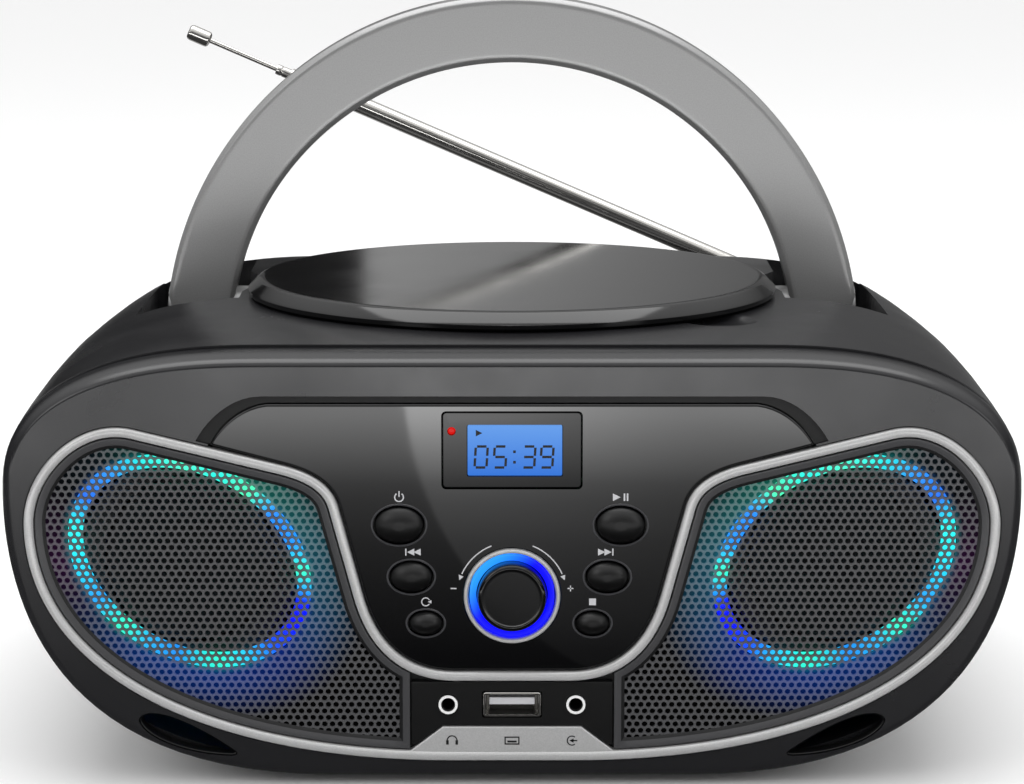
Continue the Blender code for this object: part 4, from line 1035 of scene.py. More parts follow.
def grille(side):
    """A perforated sheet: staggered holes inside the speaker's outline, behind the bezel's lip."""
    settings = bpy.context.scene.boombox
    pitch = settings.grille_pitch / MM
    low, high = span_of(f"{side}_grille")
    middle = (low[1] + high[1]) / 2
    sheet = bmesh.new()
    sheet.faces.new([sheet.verts.new((x, middle + 5.0, z)) for x, z in speaker_outline(1.25, side)])
    base = raw(f"{side}_grille", sheet)
    cell = drilled_cell(settings)
    bmesh.ops.recalc_face_normals(cell, faces=cell.faces)
    if sum(f.normal.y for f in cell.faces if abs(f.normal.y) > 0.9 and f.calc_center_median().y < 0) > 0:
        bmesh.ops.reverse_faces(cell, faces=cell.faces)
    bmesh.ops.scale(cell, verts=cell.verts, vec=(MM, MM, MM))
    mesh = bpy.data.meshes.new("cell")
    cell.to_mesh(mesh)
    cell.free()
    part = bpy.data.objects.new("cell", mesh)
    bpy.context.scene.collection.objects.link(part)
    start = low[0] - 2.0
    columns = int((high[0] - low[0] + 6) / pitch)
    rows = int((high[2] - low[2] + 6) / (pitch * math.sqrt(3) / 2))
    values = {"Cell": part, "Pitch": settings.grille_pitch, "Columns": columns, "Rows": rows,
              "Corner": place((start, middle, low[2] - 2.0))}
    grown(f"{side}_perforated_grille", base, perforation_tree(), values, f"{side}_grille_paint",
          stands_for=(f"{side}_grille",), sharp=45, helpers=(part,))


def lit_oval(side, sign):
    """The lamp diffuser: a rounded oval tube round the speaker, and the felt round it."""
    front, back = PLATE_FRONT, 2 * PLATE_FRONT
    where = (sign * SPEAKER_X, SPEAKER_Z)
    outline = oval(*where, OVAL_LONG, OVAL_SHORT, sign * OVAL_TILT, 96)
    tube = [(0.0, back), (0.0, front + 0.9), (0.25, front + 0.4), (0.8, front + 0.08), (OVAL_BAND / 2, front),
            (OVAL_BAND - 0.8, front + 0.08), (OVAL_BAND - 0.25, front + 0.4), (OVAL_BAND, front + 0.9),
            (OVAL_BAND, back)]
    piece(f"{side}_lit_oval", swept(outline, tube), f"{side}_lamp", stands_for=(f"{side}_light_ring",))
    opening = prism(oval(*where, OVAL_LONG + 0.1, OVAL_SHORT + 0.1, sign * OVAL_TILT, 96), 0, 10)
    piece(f"{side}_grille_felt", prism(speaker_outline(0.9, side), 1.9, 2.4), f"{side}_felt", cuts=[opening])


def driver(side, sign):
    """One speaker: pressed basket, magnet, rolled surround, paper cone and dust cap."""
    front = span_of(f"{side}_speaker_basket")[0][1]
    back = span_of(f"{side}_speaker_basket")[1][1]
    centre = (sign * SPEAKER_X, 0.0, SPEAKER_Z)
    basket = [(0, front + 20), (10.5, front + 18.5), (21.0, front + 2), (21.0, front), (26.5, front),
              (26.5, front + 1.8), (22.8, front + 2.2), (12.5, front + 19), (18.0, front + 20), (18.0, back),
              (0, back)]
    piece(f"{side}_driver_basket", turned(fillet(basket, 0.6, 3), centre, (0, 1, 0), 48), "japanned_steel",
          stands_for=(f"{side}_speaker_basket",))
    cone = [(0, front + 7.5), (3.5, front + 8.3), (6.4, front + 10.4), (6.7, front + 10.2),
            (17.6, front + 1.9),
            (18.2, front + 1.2), (19.0, front + 0.8), (19.8, front + 0.9), (20.6, front + 1.1),
            (20.6, front + 1.6),
            (8.0, front + 16), (0, front + 17.5)]
    piece(f"{side}_driver_cone", turned(fillet(cone, 0.8, 4), centre, (0, 1, 0), 56), "cone_paper",
          stands_for=(f"{side}_speaker_cone",))


def vent(side):
    """A leaf-shaped port lip, with a soft roll at its mouth."""
    lip = [(0.1, 4.8), (0.1, 0.9), (0.16, 0.7), (0.3, 0.6), (0.44, 0.7), (0.5, 0.9), (0.5, 4.8)]
    piece(f"{side}_port_lip", swept(leaf_outline(side), lip), "etched_abs", stands_for=(f"{side}_vent",))


# Controls.


def key_place(name):
    """A key's middle and its cap's half sizes, from its node's box less its hidden flange."""
    low, high = span_of(name)
    x, _, z = middle_of(name)
    return x, z, (high[0] - low[0]) / 2 - KEY_FLANGE, (high[2] - low[2]) / 2 - KEY_FLANGE


def fascia():
    """The gloss control panel, with openings for its window, keys and knob collar."""
    low, high = span_of("display_window")
    cuts = [prism(rectangle(low[0] - GAP, low[2] - GAP, high[0] + GAP, high[2] + GAP, 1.2), -5, 5)]
    for name in KEYS:
        x, z, across, up = key_place(name)
        cuts.append(prism(oval(x, z, across + GAP, up + GAP), -5, 5))
    x, _, z = middle_of("volume_bezel")
    radius = (span_of("volume_bezel")[1][0] - span_of("volume_bezel")[0][0]) / 2
    cuts.append(rod(radius + GAP, (x, -5, z), (0, 1, 0), 10, 72))
    piece("control_fascia", prism(panel_outline(), -GAP, PLATE_FRONT - GAP, 0.7), "fascia_abs",
          stands_for=("control_panel",), cuts=cuts)


def key(name, body):
    """A domed oval key with the thin bright rim of its opening."""
    x, z, across, up = key_place(name)
    front = span_of(name)[0][1]
    back = span_of(name)[1][1]
    loops = []
    steps = 9
    for step in range(1, steps + 1):
        angle = math.radians(84 * step / steps)
        share = math.sin(angle)
        d = front + (0.3 - front) * (1 - math.cos(angle))
        loops.append(at_depth(oval(x, z, across * share, up * share, count=56), d))
    for change, d in ((0.0, 2.5), (KEY_FLANGE, 2.5), (KEY_FLANGE, 3.3), (-1.2, 3.3), (-1.2, back)):
        loops.append(at_depth(oval(x, z, across + change, up + change, count=56), d))
    piece(name.replace("button", "cap"), skin(loops), "key_abs", body, (name,), sharp=50)
    rim = [(-GAP - 0.02, 0.6), (-GAP - 0.02, -0.42), (-GAP - 0.12, -0.56), (-GAP - 0.3, -0.6),
           (-GAP - 0.46, -0.54), (-GAP - 0.55, -0.42), (-GAP - 0.55, -0.32), (-GAP - 0.06, -0.32),
           (-GAP - 0.06, 0.6)]
    outline = oval(x, z, across, up)
    piece(name.replace("button", "rim"), swept(outline, rim), "rim_abs")


def volume():
    """The volume knob, its bright collar and the lit ring between them."""
    x, _, z = middle_of("volume_knob")
    low, high = span_of("volume_knob")
    radius = (high[0] - low[0]) / 2
    centre = (x, 0.0, z)
    axis = (0, 1, 0)
    tip = low[1]
    cap = [(0, tip + 0.15), (radius - 1.6, tip + 0.12), (radius - 0.9, tip), (radius - 0.3, tip + 0.4),
           (radius, tip + 1.6), (radius, 1.0), (3.0, 1.0), (3.0, high[1]), (0, high[1])]
    piece("volume_cap", turned(fillet(cap, 0.5), centre, axis, 96), "knob_abs", "knob", ("volume_knob",))
    low, high = span_of("volume_bezel")
    outer = (high[0] - low[0]) / 2
    inner = outer - 1.15
    ring = [(outer, high[1]), (outer, low[1] + 0.6), (outer - 0.2, low[1] + 0.15), (outer - 0.55, low[1]),
            (outer - 0.9, low[1] + 0.12), (inner, low[1] + 0.55), (inner, high[1])]
    piece("volume_collar", turned(ring, centre, axis, 96), "trim_lacquer", stands_for=("volume_bezel",),
          sharp=50)
    low, high = span_of("volume_light_ring")
    glow = (high[0] - low[0]) / 2
    lit = [(glow, high[1]), (glow, low[1] + 0.1), (glow - 0.3, low[1]), (radius + 0.5, low[1] + 0.3),
           (radius + GAP, low[1] + 0.5), (radius + GAP, high[1])]
    piece("volume_glow", turned(lit, centre, axis, 96), "blue_diffuser", stands_for=("volume_light_ring",))


# Marks: flat shapes of ink, as (outline, outline, ...) about their own centre, in millimetres.


def triangle(size, facing=1.0, x=0.0):
    half = size / 2
    points = [(x - half * facing, -half), (x + half * facing, 0.0), (x - half * facing, half)]
    return points if facing > 0 else points[::-1]


def bar(x, z, width, height):
    return rectangle(x - width / 2, z - height / 2, x + width / 2, z + height / 2)


def arc(radius, start, end, width, steps=18):
    """A band along an arc, from one angle to another in degrees."""
    angles = [math.radians(start + (end - start) * step / steps) for step in range(steps + 1)]
    outer = [((radius + width / 2) * math.cos(a), (radius + width / 2) * math.sin(a)) for a in angles]
    inner = [((radius - width / 2) * math.cos(a), (radius - width / 2) * math.sin(a)) for a in angles]
    return outer + inner[::-1]


MARKS = {
    "power": [arc(0.85, 125, 415, 0.24), bar(0, 0.65, 0.24, 1.1)],
    "previous": [triangle(1.4, -1, -0.1), triangle(1.4, -1, 1.15), bar(-1.05, 0, 0.25, 1.4)],
    "next": [triangle(1.4, 1, 0.1), triangle(1.4, 1, -1.15), bar(1.05, 0, 0.25, 1.4)],
    "play": [triangle(1.5, 1, -0.8), bar(0.7, 0, 0.32, 1.5), bar(1.3, 0, 0.32, 1.5)],
    "stop": [bar(0, 0, 1.35, 1.35)],
    "function": [arc(0.8, 30, 330, 0.22), triangle(0.7, -1, 0.75)],
    "quieter": [bar(0, 0, 1.3, 0.26)],
    "louder": [bar(0, 0, 1.3, 0.26), bar(0, 0, 0.26, 1.3)],
    "headphones": [arc(1.05, 0, 180, 0.26), bar(-1.0, -0.4, 0.55, 0.95), bar(1.0, -0.4, 0.55, 0.95)],
    "line_in": [arc(1.0, 50, 310, 0.24), bar(0.5, 0, 1.3, 0.26), triangle(0.9, -1, -0.1)],
    "bus": [bar(0, 0.75, 3.2, 0.26), bar(0, -0.75, 3.2, 0.26), bar(-1.47, 0, 0.26, 1.24),
            bar(1.47, 0, 0.26, 1.24),
            bar(0, -0.2, 2.0, 0.4)],
}


def mark_solid(bm, outlines, x, z, front, back, size=1.0):
    """Adds a mark's flat shapes to a mesh, in front of a surface."""
    for outline in outlines:
        points = [(x + px * size, z + pz * size) for px, pz in outline]
        extra = prism(points, front, back)
        mesh = bpy.data.meshes.new("mark")
        extra.to_mesh(mesh)
        extra.free()
        bm.from_mesh(mesh)
        bpy.data.meshes.remove(mesh)


ARROW_RADIUS = 13.4


def key_marks():
    """Pale printed symbols above the keys and beside the knob, and dark ones on the plate."""
    bm = bmesh.new()
    front, back = -GAP - 0.06, -GAP + 0.2
    for name in KEYS:
        x, z, across, up = key_place(name)
        mark_solid(bm, MARKS[name.split("_")[0]], x, z + up + 2.4, front, back, 1.25)
    knob_x, _, knob_z = middle_of("volume_knob")
    for sign, name in ((-1, "quieter"), (1, "louder")):
        start, end = sorted((90 - sign * 22, 90 - sign * 66))
        mark_solid(bm, [arc(ARROW_RADIUS, start, end, 0.28)], knob_x, knob_z, front, back)
        tip = math.radians(90 - sign * 68)
        point = Vector((math.cos(tip), math.sin(tip))) * ARROW_RADIUS
        heading = Vector((math.sin(tip), -math.cos(tip))) * sign
        across = Vector((-heading.y, heading.x)) * 0.65
        corners = [point + heading * 1.2, point + across, point - across]
        mark_solid(bm, [[tuple(c) for c in corners]], knob_x, knob_z, front, back)
        mark_solid(bm, MARKS[name], knob_x + sign * 14.3, knob_z + 1.8, front, back, 1.1)
    piece("key_symbols", bm, "marking_ink")
    bm = bmesh.new()
    plate = -0.6
    for jack, name in (("headphone_jack", "headphones"), ("usb_socket", "bus"), ("line_in_jack", "line_in")):
        x = middle_of(jack)[0] * 0.94
        mark_solid(bm, MARKS[name], x, 10.3, plate - 0.06, plate + 0.2, 1.15)
    piece("label_symbols", bm, "dark_ink_and_shade")


SEGMENTS = {"0": "abcdef", "3": "abcdg", "5": "acdfg", "9": "abcdfg"}


def digit(text, x, z, width, height, stroke):
    """Seven-segment digit outlines about its middle."""
    half, up = width / 2, height / 2
    lean = 0.06
    places = {
        "a": bar(0, up, width - stroke, stroke), "d": bar(0, -up, width - stroke, stroke),
        "g": bar(0, 0, width - stroke, stroke), "b": bar(half, up / 2, stroke, up - stroke),
        "c": bar(half, -up / 2, stroke, up - stroke), "f": bar(-half, up / 2, stroke, up - stroke),
        "e": bar(-half, -up / 2, stroke, up - stroke),
    }
    return [[(x + px + pz * lean, z + pz) for px, pz in places[s]] for s in SEGMENTS[text]]


def display():
    """A black acrylic window round a lit screen, with dark segments on it."""
    low, high = span_of("display_window")
    screen = rectangle(-11.0, 76.4, 12.4, 89.2, 0.5)
    x, z = middle_of("power_indicator")[0], middle_of("power_indicator")[2]
    lamp = oval(x, z, 1.05, 1.05, count=32)
    piece("window_surround", prism(rectangle(low[0], low[2], high[0], high[2], 1.0), 0.0, 1.2, 0.25),
          "window_acrylic", stands_for=("display_window",), cuts=[prism(screen, -1, 2), prism(lamp, -1, 2)])
    module_low, module_high = span_of("lcd_module")
    piece("lcd_glass", prism(rectangle(-10.8, 76.6, 12.2, 89.0, 0.4), 0.35, 1.3), "lcd")
    piece("lcd_carrier",
          block((module_low[0], 1.5, module_low[2]), (module_high[0], module_high[1], module_high[2])),
          "etched_abs", stands_for=("lcd_module",), bevel=0.2)
    bm = bmesh.new()
    for place_x, text in ((-7.5, "0"), (-2.9, "5"), (4.1, "3"), (8.5, "9")):
        mark_solid(bm, digit(text, place_x, 81.2, 2.9, 5.2, 0.6), 0, 0, 0.28, 0.42)
    mark_solid(bm, [bar(0.6, 82.5, 0.65, 0.65), bar(0.6, 79.9, 0.65, 0.65)], 0, 0, 0.28, 0.42)
    mark_solid(bm, [triangle(1.6, 1)], -8.0, 87.1, 0.28, 0.42)
    piece("lcd_segments", bm, "dark_ink_and_shade")
    front, back = span_of("power_indicator")[0][1], span_of("power_indicator")[1][1]
    lens = [(0, 0.15), (0.35, 0.18), (0.7, 0.36), (0.92, 0.75), (0.95, 1.2), (0.95, back), (0, back)]
    piece("power_lens", turned(lens, (x, 0, z), (0, 1, 0), 32), "red_indicator",
          stands_for=("power_indicator",))


def sockets():
    """The socket panel: two jacks with bright noses, and a bus socket."""
    low, high = span_of("port_panel")
    label = prism(inset(label_outline(), -GAP), -5, 5)
    usb_low, usb_high = span_of("usb_socket")
    front = low[1]
    cuts = [label,
            prism(rectangle(usb_low[0] - GAP, usb_low[2] - GAP, usb_high[0] + GAP, usb_high[2] + GAP, 0.6),
                  -5, 5)]
    jacks = ("headphone_jack", "line_in_jack")
    for name in jacks:
        x, _, z = middle_of(name)
        cuts.append(rod(2.3 + GAP, (x, -5, z), (0, 1, 0), 10, 40))
    piece("socket_panel", prism(rectangle(low[0], low[2], high[0], high[2], 0.4), front, high[1], 0.25),
          "socket_abs_and_shade",
          stands_for=("port_panel",), cuts=cuts)
    for name in jacks:
        x, _, z = middle_of(name)
        nose, back = span_of(name)[0][1], span_of(name)[1][1]
        collar = [(1.72, nose + 0.3), (1.76, nose), (1.9, nose - 0.09), (2.2, nose - 0.09), (2.34, nose),
                  (2.38, nose + 0.3)]
        piece(name.replace("jack", "collar"), turned(collar, (x, 0, z), (0, 1, 0), 64), "bright_lacquer",
              sharp=50)
        barrel = [(0, back - 1.5), (1.75, back - 1.5), (1.75, nose + 0.5), (1.95, nose + 0.1), (2.15, nose),
                  (2.3, nose + 0.2), (2.3, 2.8), (3.6, 2.8), (3.6, back), (0, back)]
        piece(name.replace("jack", "barrel"), turned(barrel, (x, 0, z), (0, 1, 0), 48), "nickel_plate",
              stands_for=(name,))
        throat = [(0, back - 1.7), (1.68, back - 1.7), (1.68, 0.6), (1.5, 0.6), (1.5, back - 2.2),
                  (0, back - 2.2)]
        piece(name.replace("jack", "throat"), turned(throat, (x, 0, z), (0, 1, 0), 40), "etched_abs")
    half = ((usb_high[0] - usb_low[0]) / 2, (usb_high[2] - usb_low[2]) / 2)
    middle = (usb_low[2] + usb_high[2]) / 2
    outer = rectangle(-half[0], middle - half[1], half[0], middle + half[1], 0.7)
    inner = rectangle(-half[0] + 0.6, middle - half[1] + 0.6, half[0] - 0.6, middle + half[1] - 0.6, 0.25)
    back = usb_high[1]
    can = skin([at_depth(outer, back), at_depth(outer, usb_low[1] + 0.15),
                at_depth(inset(outer, 0.15), usb_low[1]),
                at_depth(inset(inner, -0.12), usb_low[1]), at_depth(inner, usb_low[1] + 0.15),
                at_depth(inner, back - 1.5)])
    piece("bus_socket", can, "nickel_plate", stands_for=("usb_socket",), sharp=40)
    tongue = block((-half[0] + 1.5, 0.8, middle - 0.2), (half[0] - 1.5, back - 1.6, middle + 1.6))
    piece("bus_tongue", tongue, "marking_ink", bevel=0.2)
    contacts = [(x, 0.9 + 3.0, middle - 0.24) for x in (-3.6, -1.2, 1.2, 3.6)]
    strip = part_at_origin("strip", prism(rectangle(-0.5, -0.05, 0.5, 0.05), -3.0, 3.0))
    copies("bus_contacts", strip, contacts, "nickel_plate")


# Rear shell, back and underside.


def rear_sections(distance):
    """The rear shell's sections, moved inwards by a distance: (outline, d)."""
    stations = ((0.0, -0.8, SEAM), (0.0, 0.0, 30.0), (0.0, 0.0, 60.0), (0.35, 0.0, 80.0), (1.0, 0.0, 100.0),
                (2.7, 0.0, 125.0), (5.0, 0.0, 150.0), (7.0, 0.0, 166.0), (8.5, -1.1, 177.0),
                (11.0, -3.3, 190.0),
                (13.0, -5.8, 202.0))
    return [(inset(cabinet_outline(HALF_WIDTH - narrower, DECK + rise), distance), d)
            for narrower, rise, d in stations]


def pocket_outline(side, margin):
    """A handle pocket in plan, which keeps clear of the lid and of the handle as it folds."""
    m = margin
    outline = [(73.0 - m, 172.0 + m), (73.0 - m, 140.0), (67.8 - m, 126.0), (67.8 - m, 121.0),
               (72.5 - m, 100.0),
               (72.5 - m, 88.0 - m), (100.0 + m, 88.0 - m), (100.0 + m, 172.0 + m)]
    return outline if side > 0 else flipped(outline)


def rear_shell():
    """The rear shell: a hollow body with its pockets, bores and openings."""
    sections = rear_sections(0.0)
    loops = [at_depth(outline, d) for outline, d in sections]
    steps = 5
    for step in range(1, steps + 1):
        angle = math.radians(90 * step / steps)
        away = 3.0 * (1 - math.cos(angle))
        loops.append(at_depth(inset(sections[-1][0], away), 202.0 + (DEPTH - 202.0) * math.sin(angle)))
    inner = rear_sections(WALL)
    inner[0] = (inner[0][0], SEAM - 2)
    inner[-1] = (inner[-1][0], DEPTH - WALL)
    cavity = raw("rear_cavity", skin([at_depth(outline, d) for outline, d in inner]))
    lid_d = middle_of("disc_well")[1]
    hinge_d, hinge_z = middle_of("lid_hinge_pin")[1:]
    hinge_front = hinge_d - 4.6 - 2.5
    antenna_x, _, antenna_z = middle_of("antenna_pin")
    kept = [block((-30.0, hinge_front + 0.6, DECK - 9.0), (30.0, 178.5, DECK + 5)),
            rod(7.0, (antenna_x, 186.0, antenna_z), (0, 1, 0), 30.0)]
    screws = [middle_of("left_rear_screw"), middle_of("right_rear_screw")]
    for x, _, z in screws:
        kept.append(rod(4.5, (x, 194.0, z), (0, 1, 0), 20.0))
    for side in (-1, 1):
        kept.append(slab(pocket_outline(side, WALL), 88.5 - WALL, DECK + 5))
    carve(cavity, kept)
    hollow = bmesh.new()
    hollow.from_mesh(cavity.data)
    for vert in hollow.verts:
        vert.co = Vector((vert.co.x / MM, (vert.co.y - FRONT_Y) / MM, (vert.co.z - BASE_Z) / MM))
    bpy.data.objects.remove(cavity)
    cuts = [hollow]
    pin = (span_of("right_handle_pin")[1][2] - span_of("right_handle_pin")[0][2]) / 2
    for side in (-1, 1):
        cuts.append(slab(pocket_outline(side, 0.0), 88.5, DECK + 5))
        cuts.append(rod(pin + GAP, (side * 60.0, HANDLE_D, HANDLE_Z), (side, 0, 0), 20.0, 32))
    cuts.append(block((-26.0, hinge_d - 4.6, DECK - 6.5), (26.0, 176.0, DECK + 5)))
    cuts.append(rod(1.8, (-28.5, hinge_d, hinge_z), (1, 0, 0), 57.0, 24))
    cuts.append(rod(62.8, (0, lid_d, 98.0), (0, 0, 1), 20.0, 128))
    dish = [(0, DECK - 1.5), (4.0, DECK - 1.4), (7.0, DECK - 1.05), (9.0, DECK - 0.45), (9.8, DECK),
            (9.8, DECK + 3), (0, DECK + 3)]
    cuts.append(turned(dish, (53.0, 46.5, 0), (0, 0, 1), 64))
    cuts.append(rod(2.8, (antenna_x, 197.0, antenna_z), (0, 1, 0), 20.0, 32))
    for x, _, z in screws:
        cuts.append(rod(1.7, (x, 196.0, z), (0, 1, 0), 20.0, 24))
        cuts.append(rod(3.5, (x, 203.0, z), (0, 1, 0), 20.0, 32))
    low, high = span_of("battery_door")
    cuts.append(prism(rectangle(low[0] - GAP, low[2] - GAP, high[0] + GAP, high[2] + GAP), 195.0, 210.0))
    low, high = span_of("mains_inlet")
    cuts.append(prism(rectangle(low[0] - GAP, low[2] - GAP, high[0] + GAP, high[2] + GAP, 2.0), 195.0, 210.0))
    for name in FEET:
        x, d, _ = middle_of(name)
        cuts.append(rod(8.3, (x, d, -5.0), (0, 0, 1), 6.0, 48))
    piece("rear_shell", skin(loops), "polished_abs", stands_for=("rear_cabinet",), cuts=cuts)


FEET = ("left_front_foot", "right_front_foot", "left_rear_foot", "right_rear_foot")


def feet():
    """Four moulded feet, each with a shallow ring in its sole."""
    low, high = span_of(FEET[0])
    radius = (high[0] - low[0]) / 2
    height = high[2] - low[2]
    profile = [(0, 0.35), (radius - 3.0, 0.35), (radius - 2.6, 0), (radius - 0.9, 0), (radius - 0.3, 0.25),
               (radius, 0.8), (radius, height), (0, height)]
    part = part_at_origin("foot", turned(profile, (0, 0, 0), (0, 0, 1), 48))
    copies("rubber_feet", part, [(middle_of(n)[0], middle_of(n)[1], low[2]) for n in FEET], "rubber",
           stands_for=FEET)


def rear_screws():
    """Two cross-head screws in the back."""
    names = ("left_rear_screw", "right_rear_screw")
    low, high = span_of(names[0])
    radius = (high[0] - low[0]) / 2
    length = high[1] - low[1]
    profile = [(0, 0), (1.4, 0), (1.4, length - 1.5), (radius, length - 1.5), (radius, length - 0.7),
               (radius - 0.5, length - 0.25), (radius - 1.4, length), (0, length)]
    solid = turned(profile, (0, 0, 0), (0, 1, 0), 32)
    head = raw("screw", solid)
    carve(head, (block((-1.7, length - 0.8, -0.28), (1.7, length + 1, 0.28)),
                 block((-0.28, length - 0.8, -1.7), (0.28, length + 1, 1.7))))
    head.data.transform(Matrix.Translation(-place((0, 0, 0))))
    copies("rear_screws", head, [(middle_of(n)[0], low[1], middle_of(n)[2]) for n in names], "nickel_plate",
           stands_for=names)


def battery_cover():
    """The battery door with its thumb scoop and its moulded ribs."""
    low, high = span_of("battery_door")
    outline = flipped(rectangle(low[0], low[2], high[0], high[2], 1.0))
    back_faced = skin([at_depth(outline, low[1]), at_depth(outline, high[1] - 0.3),
                       at_depth(inset(outline, 0.1), high[1] - 0.1), at_depth(inset(outline, 0.35), high[1])])
    scoop = turned([(0, -1.1), (3.5, -1.0), (5.6, -0.7), (7.0, 0), (7.0, 2), (0, 2)],
                   (0, high[1], high[2] - 7.7), (0, 1, 0), 64)
    piece("battery_cover", back_faced, "etched_abs", "door", ("battery_door",), cuts=[scoop])
    rib = part_at_origin("rib", prism(flipped(rectangle(-24.0, -0.45, 24.0, 0.45, 0.4)), -0.35, 0.02))
    points = [(0.0, high[1], low[2] + 4.0 + 2.6 * n) for n in range(8)]
    copies("battery_cover_ribs", rib, points, "etched_abs", "door")


def mains_socket():
    """The mains inlet: a shrouded well with two round pins. Its lead is separate and isn't made."""
    low, high = span_of("mains_inlet")
    outer = flipped(rectangle(low[0], low[2], high[0], high[2], 2.0))
    inner = inset(outer, 1.7)
    back = high[1]
    shroud = skin([at_depth(outer, low[1]), at_depth(outer, back - 0.3), at_depth(inset(outer, 0.3), back),
                   at_depth(inset(outer, 1.4), back), at_depth(inner, back - 0.3),
                   at_depth(inner, low[1] + 2)])
    piece("mains_shroud", shroud, "etched_abs", stands_for=("mains_inlet",), sharp=40)
    x, _, z = middle_of("mains_inlet")
    pin = part_at_origin("pin",
                         turned([(0, 0), (1.1, 0), (1.1, 7.2), (0.7, 8.0), (0, 8.1)], (0, 0, 0), (0, 1, 0),
                                32))
    copies("mains_pins", pin, [(x - 4.3, low[1] + 1, z), (x + 4.3, low[1] + 1, z)], "nickel_plate")


# Deck, lid and handle.


def disc_deck():
    lid_d = middle_of("disc_well")[1]
    low, high = span_of("disc_well")
    outer = (high[0] - low[0]) / 2 - 1.2
    radius = outer - 1.8
    floor, top = low[2], high[2]
    basin = [(13.0, floor), (outer, floor), (outer, top - 1.8), (outer + 1.2, top - 1.8), (outer + 1.2, top),
             (radius + 0.4, top), (radius, top - 0.4), (radius, floor + 4.0), (radius - 0.7, floor + 2.5),
             (radius - 2.2, floor + 1.8), (20.0, floor + 1.8), (13.6, floor + 1.8), (13.0, floor + 1.4)]
    slot = block((15.0, lid_d - 8, 80), (51.0, lid_d + 8, 99))
    piece("disc_basin", turned(basin, (0.0, lid_d, 0.0), (0, 0, 1), 128), "etched_abs",
          stands_for=("disc_well",),
          cuts=[slot])
    low, high = span_of("disc_turntable")
    table = [(0, low[2]), (1.2, low[2]), (1.2, 94.5), (11.6, 94.5), (12.0, 94.9), (12.0, 96.6), (11.6, 97.0),
             (7.6, 97.0), (7.2, 97.3), (6.8, 98.6), (6.2, high[2]), (0, high[2])]
    piece("disc_spindle", turned(table, (0.0, lid_d, 0.0), (0, 0, 1), 64), "graphite_abs", "turntable",
          ("disc_turntable",))


def lid():
    """The gloss disc lid: a cone-edged top, its skirt, hub and hinge arms."""
    lid_d = middle_of("disc_well")[1]
    hinge_d, hinge_z = middle_of("lid_hinge_pin")[1:]
    low = DECK + GAP
    high = low + 4.6
    crown = [(0, 100.5), (15.0, 100.5), (15.0, high - 1.8), (60.5, high - 1.8), (60.5, low), (69.6, low),
             (70.3, low + 0.5), (70.4, low + 1.1), (70.4, low + 1.6), (69.9, low + 2.2), (67.8, high - 0.5),
             (66.9, high - 0.08), (65.8, high), (0, high)]
    arms = []
    for side in (-1, 1):
        x0 = side * 17.0 - 5.0
        arms.append(block((x0, lid_d + 60, low + 0.05), (x0 + 10.0, hinge_d + 1.8, low + 2.6)))
        arms.append(rod(3.7, (x0, hinge_d, hinge_z), (1, 0, 0), 10.0, 48))
    bore = rod(1.8, (-60, hinge_d, hinge_z), (1, 0, 0), 120, 32)
    piece("lid_crown", turned(crown, (0, lid_d, 0), (0, 0, 1), 192), "lid_abs", "lid", ("disc_lid",),
          joins=arms,
          cuts=[bore], sharp=24)
    half = span_of("lid_hinge_pin")[1][0]
    pin = [(0, 0), (1.2, 0), (1.5, 0.3), (1.5, 2 * half - 0.3), (1.2, 2 * half), (0, 2 * half)]
    piece("lid_pin", turned(pin, (-half, hinge_d, hinge_z), (1, 0, 0), 32), "turned_steel",
          stands_for=("lid_hinge_pin",))


HANDLE_D, HANDLE_Z = middle_of("left_handle_pin")[1:]


def handle():
    """The carrying arch with chamfered edges, its end hubs, and the pins that it turns on."""
    low, high = span_of("handle")
    outer = 97.5
    inner = 79.0
    centre_z = high[2] - outer
    half = (high[1] - low[1]) / 2
    section = []
    chamfer = 1.5
    for radius, away in ((inner, -1), (outer, 1)):
        edge = radius - away * chamfer
        section += [(edge - away * 1.0, -half * away), (edge, (-half + 0.03) * away),
                    (edge + away * 0.4, (-half + 0.22) * away),
                    (radius - away * 0.22, (-half + chamfer - 0.4) * away),
                    (radius - away * 0.03, (-half + chamfer) * away),
                    (radius, (-half + chamfer + 0.8) * away), (radius, (half - chamfer - 0.8) * away),
                    (radius - away * 0.03, (half - chamfer) * away),
                    (radius - away * 0.22, (half - chamfer + 0.4) * away),
                    (edge + away * 0.4, (half - 0.22) * away), (edge, (half - 0.03) * away),
                    (edge - away * 1.0, half * away)]
    start = math.asin((HANDLE_Z - centre_z) / ((inner + outer) / 2))
    loops = []
    steps = 110
    for step in range(steps + 1):
        angle = start + (math.pi - 2 * start) * step / steps
        loops.append([(radius * math.cos(angle), HANDLE_D + across, centre_z + radius * math.sin(angle))
                      for radius, across in section])
    hubs, bores = [], []
    for side, word in ((-1, "left"), (1, "right")):
        pin_low, pin_high = span_of(f"{word}_handle_pin")
        length = pin_high[0] - pin_low[0]
        start_x = min(abs(pin_low[0]), abs(pin_high[0]))
        hubs.append(rod(half - 0.02, (side * 73.5, HANDLE_D, HANDLE_Z), (side, 0, 0), 23.0, 64))
        bores.append(rod(3.3, (side * 60, HANDLE_D, HANDLE_Z), (side, 0, 0), 20.5, 48))
        profile = [(0, 0), (2.6, 0), (3.0, 0.4), (3.0, length - 0.4), (2.6, length), (0, length)]
        piece(f"{word}_handle_pivot", turned(profile, (side * start_x, HANDLE_D, HANDLE_Z), (side, 0, 0), 40),
              "turned_steel", stands_for=(f"{word}_handle_pin",))
    piece("carrying_handle", skin(loops), "handle_lacquer", "handle_arm", ("handle",), joins=hubs, cuts=bores,
          sharp=25)


# Antenna, measured along itself from its pivot.


